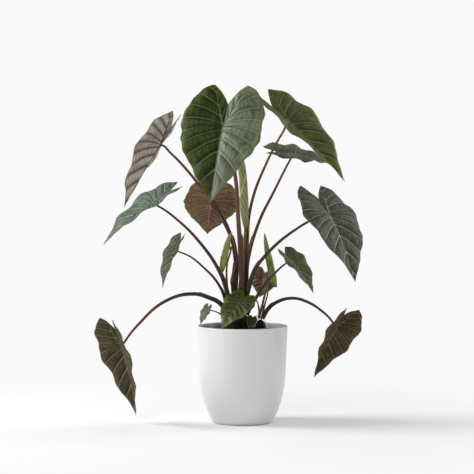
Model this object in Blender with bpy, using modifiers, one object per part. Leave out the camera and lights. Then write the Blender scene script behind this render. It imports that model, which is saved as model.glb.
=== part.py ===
"""A potted elephant's ear plant (Alocasia) for Blender 4.5: pot, soil, corms, leaf stalks and leaf blades.

Metres, +Z up. The origin is the centre of the pot's underside, +X is the plant's right and -Y its front.
"""

import math

import bmesh
import bpy
from mathutils import Vector

MM = 0.001
CLEARANCE = 0.3 * MM  # between pieces that touch

# Pot: a straight flare above the waist, rounded in to the foot below it.
POT_HEIGHT = 192 * MM
RIM_RADIUS = 90 * MM
WAIST_HEIGHT = 95 * MM
WAIST_RADIUS = 85.5 * MM
FOOT_RADIUS = 59 * MM
TUCK_POWER = 2.2
POT_WALL = 4.5 * MM
POT_FLOOR = 7 * MM
FOOT_EDGE = 3 * MM
TURNS = 48  # facets round the pot and the soil

# Soil
SOIL_BELOW_RIM = 13 * MM
SOIL_MOUND = 7 * MM  # how much higher it is in the middle than at the wall

# Corms: the woody bulb that carries the stalks, and the young one beside it.
CORM_PLACE = (-11 * MM, -1 * MM)
CORM_RADIUS = 25 * MM
CORM_RISE = 43 * MM  # how far it stands above the soil's edge
OFFSET_PLACE = (36 * MM, 4 * MM)
OFFSET_RADIUS = 11 * MM
OFFSET_RISE = 24 * MM
CORM_BURIED = 30 * MM  # depth below the soil's edge

# Blades: an arrow-shaped sheet, mirrored over its midrib.
BLADE_THICKNESS = 1.2 * MM
STALK_GAP = BLADE_THICKNESS / 2 + 1 * MM  # from a blade's middle sheet to the end of its stalk
SINUS = 0.56  # share of the lobes' length where the two lobes are joined
LOBE_TIP = 0.40  # share of the half width where a lobe ends
RIPPLE_START = 0.25  # the half width within which the ripples fade, so both sides meet at the seam
NOTCH_OPEN = 0.7  # how straight the notch between the lobes runs out
SHOULDER = 0.60  # share of the margin that lies in front of the hub
LAST_LATERAL = 0.54  # share of the margin that the midrib's own veins reach
VEIN_START = 1.3  # above 1, the midrib's veins start nearer the hub
SEAM = 0.4  # share of a lobe's inner side that is joined to the other lobe
FULLNESS = 1.75  # how full the blade stays towards its tip
POINT = 0.4  # how far the tip is drawn out
WAVES = 3.5  # ripples along each half's margin
VEIN_BOW = 0.2  # how far a side vein bows back, as a share of its length
DROOP = 0.10  # how far the margin hangs, as a share of the width
CREASE = 4 * MM  # the midrib's rounding

# The open leaves. hub is where the stalk meets the blade, tip its point, and faces the way its upper side
# looks; lobe is the length behind the hub and width the whole width, both laid flat; pointed is 0 for a
# round lobe and 1 for a pointed one; fold lifts each half and arch bends the midrib, in degrees; ripple is
# the height of the margin's waves. foot and neck are the stalk's radii at its two ends, and route its points
# from the corm up. Lengths are in millimetres, and heights are those over a corm as TABLE_ gives it: the
# whole plant moves up and down with its corm, and the stalks' feet spread with it.
TABLE_SOIL_EDGE = 179 * MM
TABLE_CORM_RISE = 43 * MM
TABLE_CORM_RADIUS = 25 * MM
TABLE_OFFSET_RISE = 24 * MM
TABLE_OFFSET_RADIUS = 11 * MM
LEAVES = [
    dict(name="top", hub=(-38, -70, 585), tip=(-62, -112, 439), faces=(-0.3, -0.8, 0.5),
         lobe=88, width=172, pointed=0.2, fold=15, arch=10, ripple=4, wave=0, foot=5.6, neck=3.2,
         route=[(-6, -11, 227), (-2, -16, 262), (-3, -24, 313), (-8, -36, 402), (-14, -48, 487),
                (-29, -60, 560)]),
    dict(name="top_right", hub=(95, 50, 595), tip=(204, 25, 478), faces=(0.35, -0.4, 0.85),
         lobe=82, width=132, pointed=0.7, fold=28, arch=8, ripple=3, wave=40, foot=4.2, neck=2.2,
         route=[(-4, 11, 227), (4, 20, 275), (9, 27, 340), (17, 34, 428), (51, 42, 520), (82, 47, 577)]),
    dict(name="back_right", hub=(104, 90, 532), tip=(178, 113, 511), faces=(0.35, -0.3, 0.9),
         lobe=62, width=86, pointed=0.6, fold=16, arch=12, ripple=3, wave=80, foot=4.2, neck=2.0,
         route=[(6, 2, 226), (8, 3, 275), (12, 9, 324), (33, 20, 396), (64, 46, 458), (95, 79, 517)]),
    dict(name="top_left", hub=(-165, 60, 551), tip=(-239, 72, 424), faces=(-0.6, 0.35, 0.7),
         lobe=72, width=106, pointed=0.6, fold=30, arch=6, ripple=3, wave=120, foot=5.0, neck=2.2,
         route=[(-17, 2, 225), (-13, 4, 272), (-13, 6, 318), (-32, 14, 392), (-99, 34, 486),
                (-146, 52, 536)]),
    dict(name="left", hub=(-177, -40, 437), tip=(-272, -52, 355), faces=(-0.4, -0.25, 0.9),
         lobe=66, width=116, pointed=0.7, fold=20, arch=16, ripple=3, wave=160, foot=4.4, neck=2.2,
         route=[(-23, -9, 222), (-30, -16, 256), (-45, -24, 300), (-85, -33, 360), (-137, -38, 411),
                (-165, -40, 430)]),
    dict(name="left_small", hub=(-132, -10, 341), tip=(-158, -19, 268), faces=(-0.8, -0.35, 0.5),
         lobe=38, width=66, pointed=0.6, fold=28, arch=12, ripple=2, wave=200, foot=3.4, neck=1.6,
         route=[(-31, 0, 218), (-38, -4, 255), (-54, -6, 284), (-76, -8, 307), (-101, -9, 328),
                (-123, -10, 338)]),
    dict(name="low_left", hub=(-238, -50, 156), tip=(-211, -25, 17), faces=(-0.8, -0.6, 0.0),
         lobe=66, width=108, pointed=0.6, fold=31, arch=-14, ripple=3, wave=240, foot=4.6, neck=2.2,
         route=[(-31, -17, 217), (-45, -21, 238), (-66, -25, 249), (-96, -31, 257), (-150, -37, 244),
                (-206, -43, 196), (-231, -46, 164)]),
    dict(name="low_right", corm="offset", hub=(186, -30, 191), tip=(142, -14, 90), faces=(0.74, -0.66, -0.05),
         lobe=52, width=98, pointed=0.6, fold=32, arch=-14, ripple=3, wave=280, foot=4.2, neck=2.0,
         route=[(40, -1, 206), (52, -3, 226), (70, -8, 240), (94, -12, 247), (121, -16, 243),
                (163, -20, 217), (179, -23, 199)]),
    dict(name="right", hub=(170, -40, 412), tip=(218, -98, 285), faces=(0.6, -0.65, 0.4),
         lobe=78, width=138, pointed=0.6, fold=14, arch=20, ripple=3, wave=320, foot=4.6, neck=2.2,
         route=[(4, -17, 225), (12, -25, 264), (24, -28, 303), (42, -30, 329), (103, -33, 383),
                (155, -34, 409)]),
    dict(name="right_small", hub=(97, -15, 322), tip=(140, -35, 258), faces=(0.55, -0.45, 0.7),
         lobe=33, width=68, pointed=0.6, fold=26, arch=16, ripple=2, wave=10, foot=3.6, neck=1.7,
         route=[(10, -16, 215), (19, -25, 235), (30, -25, 253), (45, -22, 276), (65, -18, 298),
                (88, -12, 317)]),
    dict(name="back", hub=(-63, 80, 433), tip=(-71, 102, 369), faces=(-0.1, 0.95, 0.3),
         lobe=52, width=110, pointed=0.1, fold=8, arch=16, ripple=3, wave=50, foot=3.6, neck=1.9,
         route=[(-14, 14, 223), (-20, 18, 275), (-15, 22, 307), (-17, 30, 341), (-42, 56, 402),
                (-58, 72, 425)]),
    dict(name="purple_small", corm="offset", hub=(42, 45, 282), tip=(35, 52, 244), faces=(-0.4, -0.8, 0.3),
         lobe=22, width=60, pointed=0.2, fold=12, arch=16, ripple=2, wave=90, foot=2.0, neck=1.2,
         route=[(39, 15, 205), (45, 34, 231), (51, 53, 256), (48, 53, 274)]),
    dict(name="juvenile", corm="offset", hub=(-6, -50, 241), tip=(-41, -68, 189), faces=(-0.5, -0.8, 0.3),
         lobe=28, width=68, pointed=0.2, fold=14, arch=22, ripple=3, wave=130, foot=1.6, neck=1.2,
         route=[(33, -4, 206), (32, -14, 228), (26, -33, 246), (15, -36, 254), (3, -39, 249)]),
    dict(name="tiny", corm="offset", hub=(19, -42, 208), tip=(12, -50, 188), faces=(0.0, -0.9, 0.4),
         lobe=8, width=21, pointed=0.1, fold=6, arch=16, ripple=1, wave=170, foot=1.2, neck=0.9,
         route=[(37, -7, 204), (38, -16, 209), (32, -29, 213), (23, -37, 212)]),
    dict(name="edge_small", hub=(-73, -5, 221), tip=(-83, -8, 194), faces=(-0.7, -0.6, 0.3),
         lobe=17, width=27, pointed=0.3, fold=15, arch=16, ripple=1, wave=210, foot=1.6, neck=1.1,
         route=[(-37, -5, 208), (-45, -6, 216), (-57, -4, 221), (-67, -2, 222)]),
]

# The young leaves that are still rolled up: axis runs from the lower end to the tip, radius is the
# roll's greatest. The stalk's route is as above. Lengths are in millimetres.
ROLLED = [
    dict(name="tall", axis=[(6, 20, 384), (4, 18, 430), (-1, 13, 500), (-10, 10, 560)], radius=9.4,
         foot=3.2, neck=3.0, route=[(-6, 1, 228), (-4, 9, 272), (1, 16, 317), (4, 19, 351), (6, 20, 382)]),
    dict(name="left", axis=[(-40, -14, 299), (-37, -13, 322), (-31, -12, 350), (-22, -12, 378)], radius=7.4,
         foot=2.4, neck=1.8, route=[(-28, 11, 219), (-30, 6, 262), (-31, 0, 310), (-24, -2, 348)]),
    dict(name="right", corm="offset", axis=[(66, 12, 267), (60, 13, 290), (53, 14, 320), (44, 15, 375)],
         radius=8.5,
         foot=2.6, neck=2.0, route=[(33, 12, 206), (40, 18, 232), (46, 20, 256), (53, 22, 276)]),
]

ROLL_SWELL = (0.75, 1.0, 0.85, 0.25)  # shares of the roll's radius at the axis's points
LARGE_LEAF = 100 * MM  # a wider blade has a finer mesh


def pot_radius(z):
    """The pot's outer radius at height z."""
    slope = (RIM_RADIUS - WAIST_RADIUS) / (POT_HEIGHT - WAIST_HEIGHT)
    flare = WAIST_RADIUS + slope * (z - WAIST_HEIGHT)
    tuck = WAIST_RADIUS - slope * WAIST_HEIGHT - FOOT_RADIUS
    return flare - tuck * max(0.0, 1 - z / WAIST_HEIGHT) ** TUCK_POWER


def make_collection(name):
    collection = bpy.data.collections.new(name)
    bpy.context.scene.collection.children.link(collection)
    return collection


def make_material(name, color, roughness):
    material = bpy.data.materials.new(name)
    material.use_nodes = True
    shader = material.node_tree.nodes["Principled BSDF"]
    shader.inputs["Base Color"].default_value = (*color, 1)
    shader.inputs["Roughness"].default_value = roughness
    material.diffuse_color = (*color, 1)
    return material


def add_object(name, data, material, collection):
    obj = bpy.data.objects.new(name, data)
    if material:
        data.materials.append(material)
    collection.objects.link(obj)
    return obj


def turned(name, profile, place, turns, material, collection):
    """A solid of revolution from (radius, height) points that start and end on the axis."""
    bm = bmesh.new()
    verts = [bm.verts.new((r, 0, z)) for r, z in profile]
    for first, second in zip(verts, verts[1:]):
        bm.edges.new((first, second))
    mesh = bpy.data.meshes.new(name)
    bm.to_mesh(mesh)
    bm.free()
    obj = add_object(name, mesh, material, collection)
    obj.location = (place[0], place[1], 0)
    screw = obj.modifiers.new("turn", "SCREW")
    screw.steps = screw.render_steps = turns
    screw.use_merge_vertices = True
    screw.merge_threshold = 0.00001
    screw.use_smooth_shade = True
    return obj


def wall_heights():
    """Heights for the pot's profile, closer together low down where the wall curves."""
    low = [WAIST_HEIGHT * share for share in (0.1, 0.22, 0.38, 0.58, 0.8)]
    return low + [WAIST_HEIGHT, (WAIST_HEIGHT + POT_HEIGHT) / 2]


def inner_corner():
    """The wall of the hollow where it meets the pot's floor: radius and height."""
    z = POT_FLOOR + POT_WALL
    return pot_radius(z) - POT_WALL, z


def make_pot(material, collection):
    lip = POT_WALL / 2
    rim_middle = RIM_RADIUS - lip
    lip_arc = [math.pi * (1 - step / 4) for step in range(5)]
    corner_radius, corner_height = inner_corner()
    heights = [z for z in wall_heights() if z > corner_height]
    profile = [(0, POT_FLOOR), (corner_radius - POT_WALL, POT_FLOOR), (corner_radius, corner_height)]
    profile += [(pot_radius(z) - POT_WALL, z) for z in heights]
    profile += [
        (rim_middle + lip * math.cos(angle), POT_HEIGHT - lip + lip * math.sin(angle)) for angle in lip_arc
    ]
    profile += [(pot_radius(z), z) for z in reversed(wall_heights())]
    profile += [(pot_radius(FOOT_EDGE), FOOT_EDGE), (FOOT_RADIUS - FOOT_EDGE, 0), (0, 0)]
    return turned("pot", profile, (0, 0), TURNS, material, collection)


def corm_profile(radius, rise, grow=0):
    """A knobbly dome on a tapering root end; grow makes the pocket that it sits in."""
    surface = POT_HEIGHT - SOIL_BELOW_RIM
    bottom = surface - CORM_BURIED
    top = surface + rise
    height = top - bottom
    shape = [(0.3, 1.0), (0.62, 0.95), (0.86, 0.84), (0.96, 0.68), (1.0, 0.5), (0.86, 0.25), (0.5, 0.06)]
    body = [(radius * r + grow, bottom + height * z) for r, z in shape]
    return [(0, top + grow), *body, (0, bottom - grow)]


def make_soil(material, collection, cutters):
    gap = CLEARANCE
    corner_radius, corner_height = inner_corner()
    surface = POT_HEIGHT - SOIL_BELOW_RIM
    middle = surface + SOIL_MOUND
    edge = pot_radius(surface) - POT_WALL - gap
    profile = [(0, middle)]
    profile += [(edge * out, surface + SOIL_MOUND * up) for out, up in ((0.45, 0.85), (0.75, 0.4), (1, 0))]
    profile += [
        (pot_radius(z) - POT_WALL - gap, z) for z in reversed(wall_heights()) if corner_height < z < surface
    ]
    profile += [(corner_radius - gap, corner_height + gap / 2)]
    profile += [(corner_radius - POT_WALL - gap, POT_FLOOR + gap), (0, POT_FLOOR + gap)]
    soil = turned("soil", profile, (0, 0), TURNS, material, collection)
    corms = ((CORM_PLACE, CORM_RADIUS, CORM_RISE), (OFFSET_PLACE, OFFSET_RADIUS, OFFSET_RISE))
    for index, (place, radius, rise) in enumerate(corms):
        pocket = turned(f"pocket_{index}", corm_profile(radius, rise, 2 * gap), place, 16, None, cutters)
        pocket.hide_render = True
        pocket.display_type = "WIRE"
        cut = soil.modifiers.new("pocket", "BOOLEAN")
        cut.operation = "DIFFERENCE"
        cut.object = pocket
    return soil


def margin_point(share, leaf):
    """A point of one half's outer margin, from the tip (0) round the shoulder to the lobe's tip (1)."""
    half = leaf["width"] / 2
    if share < SHOULDER:
        x = 1 - share / SHOULDER
        return leaf["front"] * x, half * (1 - x**FULLNESS) * (1 - POINT * x**3)
    past = (share - SHOULDER) / (1 - SHOULDER)
    turn = math.pi / 2 * past
    back = (1 - leaf["pointed"]) * math.sin(turn) + leaf["pointed"] * past
    wide = (1 - leaf["pointed"]) * math.cos(turn) + leaf["pointed"] * (1 - past**2)
    return -leaf["lobe"] * back, half * (LOBE_TIP + (1 - LOBE_TIP) * wide)


def rib_point(share, leaf):
    """The rib that feeds the margin at this share: the midrib, then the lobe's own rib."""
    if share < LAST_LATERAL:
        return leaf["front"] * (1 - share / LAST_LATERAL) ** VEIN_START, 0.0
    along = (share - LAST_LATERAL) / (1 - LAST_LATERAL)
    return -leaf["lobe"] * along, leaf["width"] / 2 * LOBE_TIP * along


def inner_point(along, leaf):
    """The lobe's inner side: the seam between the lobes, then round the sinus to the lobe's tip."""
    joined = SINUS * leaf["lobe"]
    if along < SEAM:
        return -joined * along / SEAM, 0.0
    past = (along - SEAM) / (1 - SEAM)
    turn = math.pi / 2 * past
    back = NOTCH_OPEN * past + (1 - NOTCH_OPEN) * math.sin(turn)
    wide = NOTCH_OPEN * past + (1 - NOTCH_OPEN) * (1 - math.cos(turn))
    return -(joined + (leaf["lobe"] - joined) * back), leaf["width"] / 2 * LOBE_TIP * wide


def planted(row):
    """How far the row's leaf is lifted with its corm, in metres."""
    surface = POT_HEIGHT - SOIL_BELOW_RIM - TABLE_SOIL_EDGE
    if row.get("corm") == "offset":
        return surface + OFFSET_RISE - TABLE_OFFSET_RISE
    return surface + CORM_RISE - TABLE_CORM_RISE


def stalk_route(row):
    """The route's points in metres; the first two spread out from the corm's middle as it grows."""
    offset = row.get("corm") == "offset"
    middle = OFFSET_PLACE if offset else CORM_PLACE
    grown = OFFSET_RADIUS / TABLE_OFFSET_RADIUS if offset else CORM_RADIUS / TABLE_CORM_RADIUS
    points = []
    for index, point in enumerate(row["route"]):
        spread = 1 + (grown - 1) * max(0.0, 1 - index / 2)
        x, y, z = (value * MM for value in point)
        x = middle[0] + (x - middle[0]) * spread
        y = middle[1] + (y - middle[1]) * spread
        points.append(Vector((x, y, z + planted(row))))
    return points


def blade_frame(leaf):
    """The hub, the chord to the tip, the sideways axis, the upper side's normal and the chord's length."""
    hub = Vector(leaf["hub"]) * MM + Vector((0, 0, planted(leaf)))
    chord = (Vector(leaf["tip"]) - Vector(leaf["hub"])) * MM
    along = chord.normalized()
    faces = Vector(leaf["faces"])
    up = (faces - faces.dot(along) * along).normalized()
    return hub, along, up.cross(along), up, chord.length


def sheet_point(first, second, across, bend, side, share, leaf, frame):
    """A point between the flat points first and second, on the folded and arched blade in world space."""
    reach = math.hypot(second[0] - first[0], second[1] - first[1])
    s = first[0] + (second[0] - first[0]) * across - bend * reach * across * (1 - across)
    w = first[1] + (second[1] - first[1]) * across
    half = leaf["width"] / 2
    lift = math.tan(math.radians(leaf["fold"])) * (math.hypot(w, CREASE) - CREASE)
    droop = DROOP * leaf["width"] * (w / half) ** 2
    wave = math.sin(2 * math.pi * WAVES * share + math.radians(leaf["wave"]) + side)
    free = min(1.0, reach / half) * min(1.0, w / (RIPPLE_START * half))
    height = lift - droop + leaf["ripple"] * wave * across**3 * free
    hub, along, sideways, up, chord = frame
    arch = math.radians(leaf["arch"])
    radius = chord / (2 * math.sin(arch / 2))
    angle = s / radius - arch / 2
    x = (radius + height) * math.sin(angle) + radius * math.sin(arch / 2)
    y = (radius + height) * math.cos(angle) - radius * math.cos(arch / 2)
    return hub + x * along + side * w * sideways + y * up


def in_metres(leaf):
    """The leaf's lengths in metres, with the midrib's own length from hub to tip."""
    scaled = {key: leaf[key] * MM for key in ("lobe", "width", "ripple")}
    chord = (Vector(leaf["tip"]) - Vector(leaf["hub"])).length * MM
    arch = math.radians(leaf["arch"])
    return {**leaf, **scaled, "front": chord * arch / (2 * math.sin(arch / 2))}


def blade_patch(bm, columns, rows, place):
    """A grid whose corners (0..1, 0..1) are moved to place(column share, row share)."""
    made = bmesh.ops.create_grid(bm, x_segments=columns, y_segments=rows, size=0.5)
    for vert in made["verts"]:
        vert.co = place(vert.co.x + 0.5, vert.co.y + 0.5)


def make_blade(row, material, collection):
    """Each half is an outer patch along the midrib and the lobe's rib, and an inner one beside the sinus."""
    leaf = in_metres(row)
    frame = blade_frame(leaf)
    front_columns, lobe_columns, rows = (8, 4, 3) if leaf["width"] > LARGE_LEAF else (6, 3, 2)
    split = front_columns / (front_columns + lobe_columns)
    bm = bmesh.new()
    for side in (1, -1):

        def outer(column, across, side=side):
            if column < split:
                share = LAST_LATERAL * column / split
            else:
                share = LAST_LATERAL + (1 - LAST_LATERAL) * (column - split) / (1 - split)
            ends = rib_point(share, leaf), margin_point(share, leaf)
            return sheet_point(*ends, across, VEIN_BOW, side, share, leaf, frame)

        def inner(column, across, side=side):
            share = LAST_LATERAL + (1 - LAST_LATERAL) * column
            ends = rib_point(share, leaf), inner_point(column, leaf)
            return sheet_point(*ends, across, 0.0, side, share, leaf, frame)

        blade_patch(bm, front_columns + lobe_columns, rows, outer)
        blade_patch(bm, lobe_columns, 2, inner)
    bmesh.ops.remove_doubles(bm, verts=bm.verts, dist=0.2 * MM)
    bmesh.ops.recalc_face_normals(bm, faces=bm.faces)
    mesh = bpy.data.meshes.new("leaf_" + row["name"])
    bm.to_mesh(mesh)
    bm.free()
    obj = add_object("leaf_" + row["name"], mesh, material, collection)
    solid = obj.modifiers.new("thickness", "SOLIDIFY")
    solid.thickness = BLADE_THICKNESS
    solid.offset = 0
    return obj


def make_tube(name, points, radii, sides, steps, material, collection):
    """A tapering tube through the points, with its radii in millimetres."""
    curve = bpy.data.curves.new(name, "CURVE")
    curve.dimensions = "3D"
    curve.bevel_depth = 1.0 * MM
    curve.bevel_resolution = sides
    curve.resolution_u = curve.render_resolution_u = steps
    curve.use_fill_caps = True
    spline = curve.splines.new("BEZIER")
    spline.bezier_points.add(len(points) - 1)
    for point, place, radius in zip(spline.bezier_points, points, radii):
        point.co = place
        point.radius = radius
        point.handle_left_type = point.handle_right_type = "AUTO"
    return add_object(name, curve, material, collection)


def taper(points, foot, neck):
    """Radii from the foot to the neck, by the distance along the points."""
    reach = [0.0]
    for first, second in zip(points, points[1:]):
        reach.append(reach[-1] + (second - first).length)
    return [foot + (neck - foot) * length / reach[-1] for length in reach]


def make_stalk(row, material, collection):
    """A leaf's stalk, which ends just under the blade's hub."""
    leaf = in_metres(row)
    hub, _, _, up, _ = blade_frame(leaf)
    end = hub - up * (STALK_GAP + row["neck"] * MM)
    points = [*stalk_route(row), end]
    radii = taper(points, row["foot"], row["neck"])
    return make_tube("stalk_" + row["name"], points, radii, 2, 3, material, collection)


def make_rolled(row, leaf_material, stalk_material, collection):
    """A young leaf rolled into a spindle, and its stalk."""
    lift = Vector((0, 0, planted(row)))
    axis = [Vector(point) * MM + lift for point in row["axis"]]
    radii = [row["radius"] * share for share in ROLL_SWELL]
    make_tube("leaf_rolled_" + row["name"], axis, radii, 2, 3, leaf_material, collection)
    route = stalk_route(row)
    radii = taper(route, row["foot"], row["neck"])
    make_tube("stalk_rolled_" + row["name"], route, radii, 2, 3, stalk_material, collection)


def main():
    for obj in list(bpy.data.objects):
        bpy.data.objects.remove(obj, do_unlink=True)
    plant = make_collection("potted_elephants_ear")
    cutters = make_collection("cutters")
    glaze = make_material("pot_glaze", (0.85, 0.85, 0.85), 0.35)
    earth = make_material("potting_soil", (0.06, 0.045, 0.035), 0.95)
    bark = make_material("corm_bark", (0.07, 0.04, 0.035), 0.85)
    green = make_material("leaf_green", (0.07, 0.12, 0.06), 0.4)
    fresh = make_material("leaf_fresh", (0.35, 0.45, 0.1), 0.45)
    purple = make_material("stalk_purple", (0.12, 0.05, 0.05), 0.4)
    make_pot(glaze, plant)
    make_soil(earth, plant, cutters)
    turned("corm", corm_profile(CORM_RADIUS, CORM_RISE), CORM_PLACE, 16, bark, plant)
    turned("corm_offset", corm_profile(OFFSET_RADIUS, OFFSET_RISE), OFFSET_PLACE, 16, bark, plant)
    for row in LEAVES:
        make_blade(row, green, plant)
        make_stalk(row, purple, plant)
    for row in ROLLED:
        make_rolled(row, fresh, purple, plant)


main()
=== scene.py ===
# %% [markdown]
# # A potted elephant's ear
#
# The plant is an Alocasia in a smooth white pot. Its corms sit in potting soil, and each leaf is one long
# stalk that carries one arrow-shaped blade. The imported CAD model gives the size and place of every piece, so
# this script loads it first, and each finer piece is then made over the same points.

import math

import bmesh
import bpy
import numpy as np
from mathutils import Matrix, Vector, noise


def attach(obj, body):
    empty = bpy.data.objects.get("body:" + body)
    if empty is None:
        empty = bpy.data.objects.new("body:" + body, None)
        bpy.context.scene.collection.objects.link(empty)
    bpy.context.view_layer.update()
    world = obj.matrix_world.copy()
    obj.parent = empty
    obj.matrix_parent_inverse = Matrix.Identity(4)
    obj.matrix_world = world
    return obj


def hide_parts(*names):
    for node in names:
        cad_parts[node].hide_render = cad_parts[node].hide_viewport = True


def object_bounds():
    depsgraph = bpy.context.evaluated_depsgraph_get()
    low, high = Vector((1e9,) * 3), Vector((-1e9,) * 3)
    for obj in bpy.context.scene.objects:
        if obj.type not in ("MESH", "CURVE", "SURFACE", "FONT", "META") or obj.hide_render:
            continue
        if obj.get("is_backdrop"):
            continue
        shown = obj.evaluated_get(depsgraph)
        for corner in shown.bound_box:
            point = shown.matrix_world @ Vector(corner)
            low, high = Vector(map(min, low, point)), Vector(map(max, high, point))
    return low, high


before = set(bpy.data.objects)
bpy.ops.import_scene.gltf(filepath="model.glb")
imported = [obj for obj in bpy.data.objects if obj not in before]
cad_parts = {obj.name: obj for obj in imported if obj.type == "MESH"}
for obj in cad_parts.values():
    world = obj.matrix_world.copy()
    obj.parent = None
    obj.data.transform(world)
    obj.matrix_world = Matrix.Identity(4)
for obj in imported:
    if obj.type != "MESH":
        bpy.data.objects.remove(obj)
CAD_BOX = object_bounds()
MM = 0.001
scene = bpy.context.scene
print("CAD nodes:", len(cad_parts), "box:", [round(v, 4) for corner in CAD_BOX for v in corner])

# %% [markdown]
# ## Camera
# A long lens far away keeps the pot's sides almost parallel and shows only a little of the soil. The camera
# stands a little below the top of the plant and tilts down by two and a half degrees.

# %% Camera
camera_data = bpy.data.cameras.new("camera")
camera_data.lens = 161.2
camera_data.sensor_width = 36
camera = bpy.data.objects.new("camera", camera_data)
camera.location = (-0.0107, -4.2, 0.554)
camera.rotation_euler = (math.radians(87.46), 0, 0)
scene.collection.objects.link(camera)
scene.camera = camera
print("camera at", tuple(round(v, 3) for v in camera.location))

# %% [markdown]
# ## Helpers for materials
# A material is a small graph of nodes. These helpers add one node in one line, so that each material below
# reads as a recipe: where on the surface, which pattern, which colours.


# %% Node helpers
def wire(tree, socket, value):
    """Link the value if it is another node's output, or else set it."""
    if isinstance(value, bpy.types.NodeSocket):
        tree.links.new(value, socket)
    else:
        socket.default_value = value


def add_node(tree, kind, *values, **settings):
    """A node with its settings, and its inputs wired in order; None leaves an input alone."""
    made = tree.nodes.new(kind)
    for key, value in settings.items():
        setattr(made, key, value)
    for socket, value in zip(made.inputs, values):
        if value is not None:
            wire(tree, socket, value)
    return made


def calc(tree, operation, *values):
    return add_node(tree, "ShaderNodeMath", *values, operation=operation).outputs[0]


def times(tree, first, second):
    return calc(tree, "MULTIPLY", first, second)


def fade(tree, value, start, end):
    """0 at start and 1 at end, eased at both."""
    return add_node(
        tree, "ShaderNodeMapRange", value, start, end, 0.0, 1.0, interpolation_type="SMOOTHSTEP"
    ).outputs[0]


def map_range(tree, value, given, wanted):
    """The value carried over from the given range to the wanted one."""
    return add_node(tree, "ShaderNodeMapRange", value, *given, *wanted).outputs[0]


def blend(tree, share, first, second):
    made = tree.nodes.new("ShaderNodeMix")
    made.data_type = "RGBA"
    for index, value in ((0, share), (6, first), (7, second)):
        if isinstance(value, tuple):
            value = (*value, 1)
        wire(tree, made.inputs[index], value)
    return made.outputs[2]


def speckle(tree, place, scale, detail=3.0, rough=0.5):
    """Noise from 0 to 1."""
    made = add_node(tree, "ShaderNodeTexNoise", place, None, scale, detail, rough)
    return made.outputs[0]


def bump(tree, height, strength, distance):
    made = tree.nodes.new("ShaderNodeBump")
    wire(tree, made.inputs["Height"], height)
    made.inputs["Strength"].default_value = strength
    made.inputs["Distance"].default_value = distance
    return made.outputs[0]


def start_material(name, roughness):
    """A material with its node tree, its shader and the object's own coordinates."""
    material = bpy.data.materials.new(name)
    material.use_nodes = True
    tree = material.node_tree
    shader = tree.nodes["Principled BSDF"]
    shader.inputs["Roughness"].default_value = roughness
    place = tree.nodes.new("ShaderNodeTexCoord").outputs["Object"]
    return material, tree, shader, place


def named(tree, attribute):
    """The three numbers of a piece's own attribute."""
    read = add_node(tree, "ShaderNodeAttribute", attribute_name=attribute)
    return add_node(tree, "ShaderNodeSeparateXYZ", read.outputs["Vector"]).outputs


print("node helpers ready")

# %% [markdown]
# ## Light and floor
# Glossy leaves only look wet and alive when there is something bright to reflect. A white room does most of
# the work, a broad lamp at the upper left models the pot, and a weaker one at the right keeps its edge from
# going flat.

# %% Light and floor
world = bpy.data.worlds.new("white_room")
world.use_nodes = True
room = world.node_tree
glow = room.nodes["Background"]
glow.inputs["Color"].default_value = (1.0, 1.0, 1.0, 1)
is_seen = room.nodes.new("ShaderNodeLightPath").outputs["Is Camera Ray"]
strength = map_range(room, is_seen, (0.0, 1.0), (0.45, 0.955))
room.links.new(strength, glow.inputs["Strength"])
scene.world = world
scene.view_settings.view_transform = "Standard"


def add_lamp(name, place, target, width, power):
    data = bpy.data.lights.new(name, "AREA")
    data.shape = "DISK"
    data.size = width
    data.energy = power
    lamp = bpy.data.objects.new(name, data)
    lamp.location = place
    lamp.rotation_euler = (Vector(target) - Vector(place)).to_track_quat("-Z", "Y").to_euler()
    scene.collection.objects.link(lamp)


add_lamp("window_lamp", (-2.9, 0.1, 1.9), (0, 0, 0.3), 1.8, 105)
add_lamp("edge_lamp", (2.7, 1.5, 1.5), (0, 0, 0.3), 1.2, 30)
add_lamp("front_lamp", (-1.2, -3.6, 2.6), (0, 0, 0.35), 1.5, 26)

floor_mesh = bpy.data.meshes.new("floor")
floor_mesh.from_pydata([(-30, -30, 0), (30, -30, 0), (30, 30, 0), (-30, 30, 0)], [], [(0, 1, 2, 3)])
floor = bpy.data.objects.new("floor", floor_mesh)
floor.location.z = CAD_BOX[0][2] - 0.0005
scene.collection.objects.link(floor)
material, tree, shader, place = start_material("pale_floor", 0.6)
distance = add_node(tree, "ShaderNodeVectorMath", place, operation="LENGTH").outputs["Value"]
tone = blend(tree, speckle(tree, place, 6), (0.93, 0.93, 0.93), (0.96, 0.96, 0.96))
tree.links.new(tone, shader.inputs["Base Color"])
far = add_node(tree, "ShaderNodeEmission", (0.955, 0.955, 0.955, 1), 1.0)
melt = fade(tree, distance, 0.10, 1.0)
meet = add_node(tree, "ShaderNodeMixShader", melt, shader.outputs[0], far.outputs[0])
tree.links.new(meet.outputs[0], tree.nodes["Material Output"].inputs["Surface"])
floor_mesh.materials.append(material)
floor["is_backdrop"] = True
print("lamps and floor ready")

# %% [markdown]
# ## Finished pieces
# A piece takes over from one CAD node. It must stay at the origin with no scale or turn of its own, so all
# the modelling is done in the mesh itself. It then rides on the only body and stands for its node.


# %% Finish a piece
def finish_piece(name, mesh, materials, node):
    """Link a mesh as a piece that stands for the node; None is for a piece that only adds to others."""
    if not mesh.materials:
        for material in materials:
            mesh.materials.append(material)
    piece = bpy.data.objects.new(name, mesh)
    scene.collection.objects.link(piece)
    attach(piece, "root")
    if node:
        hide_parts(node)
    return piece


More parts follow.
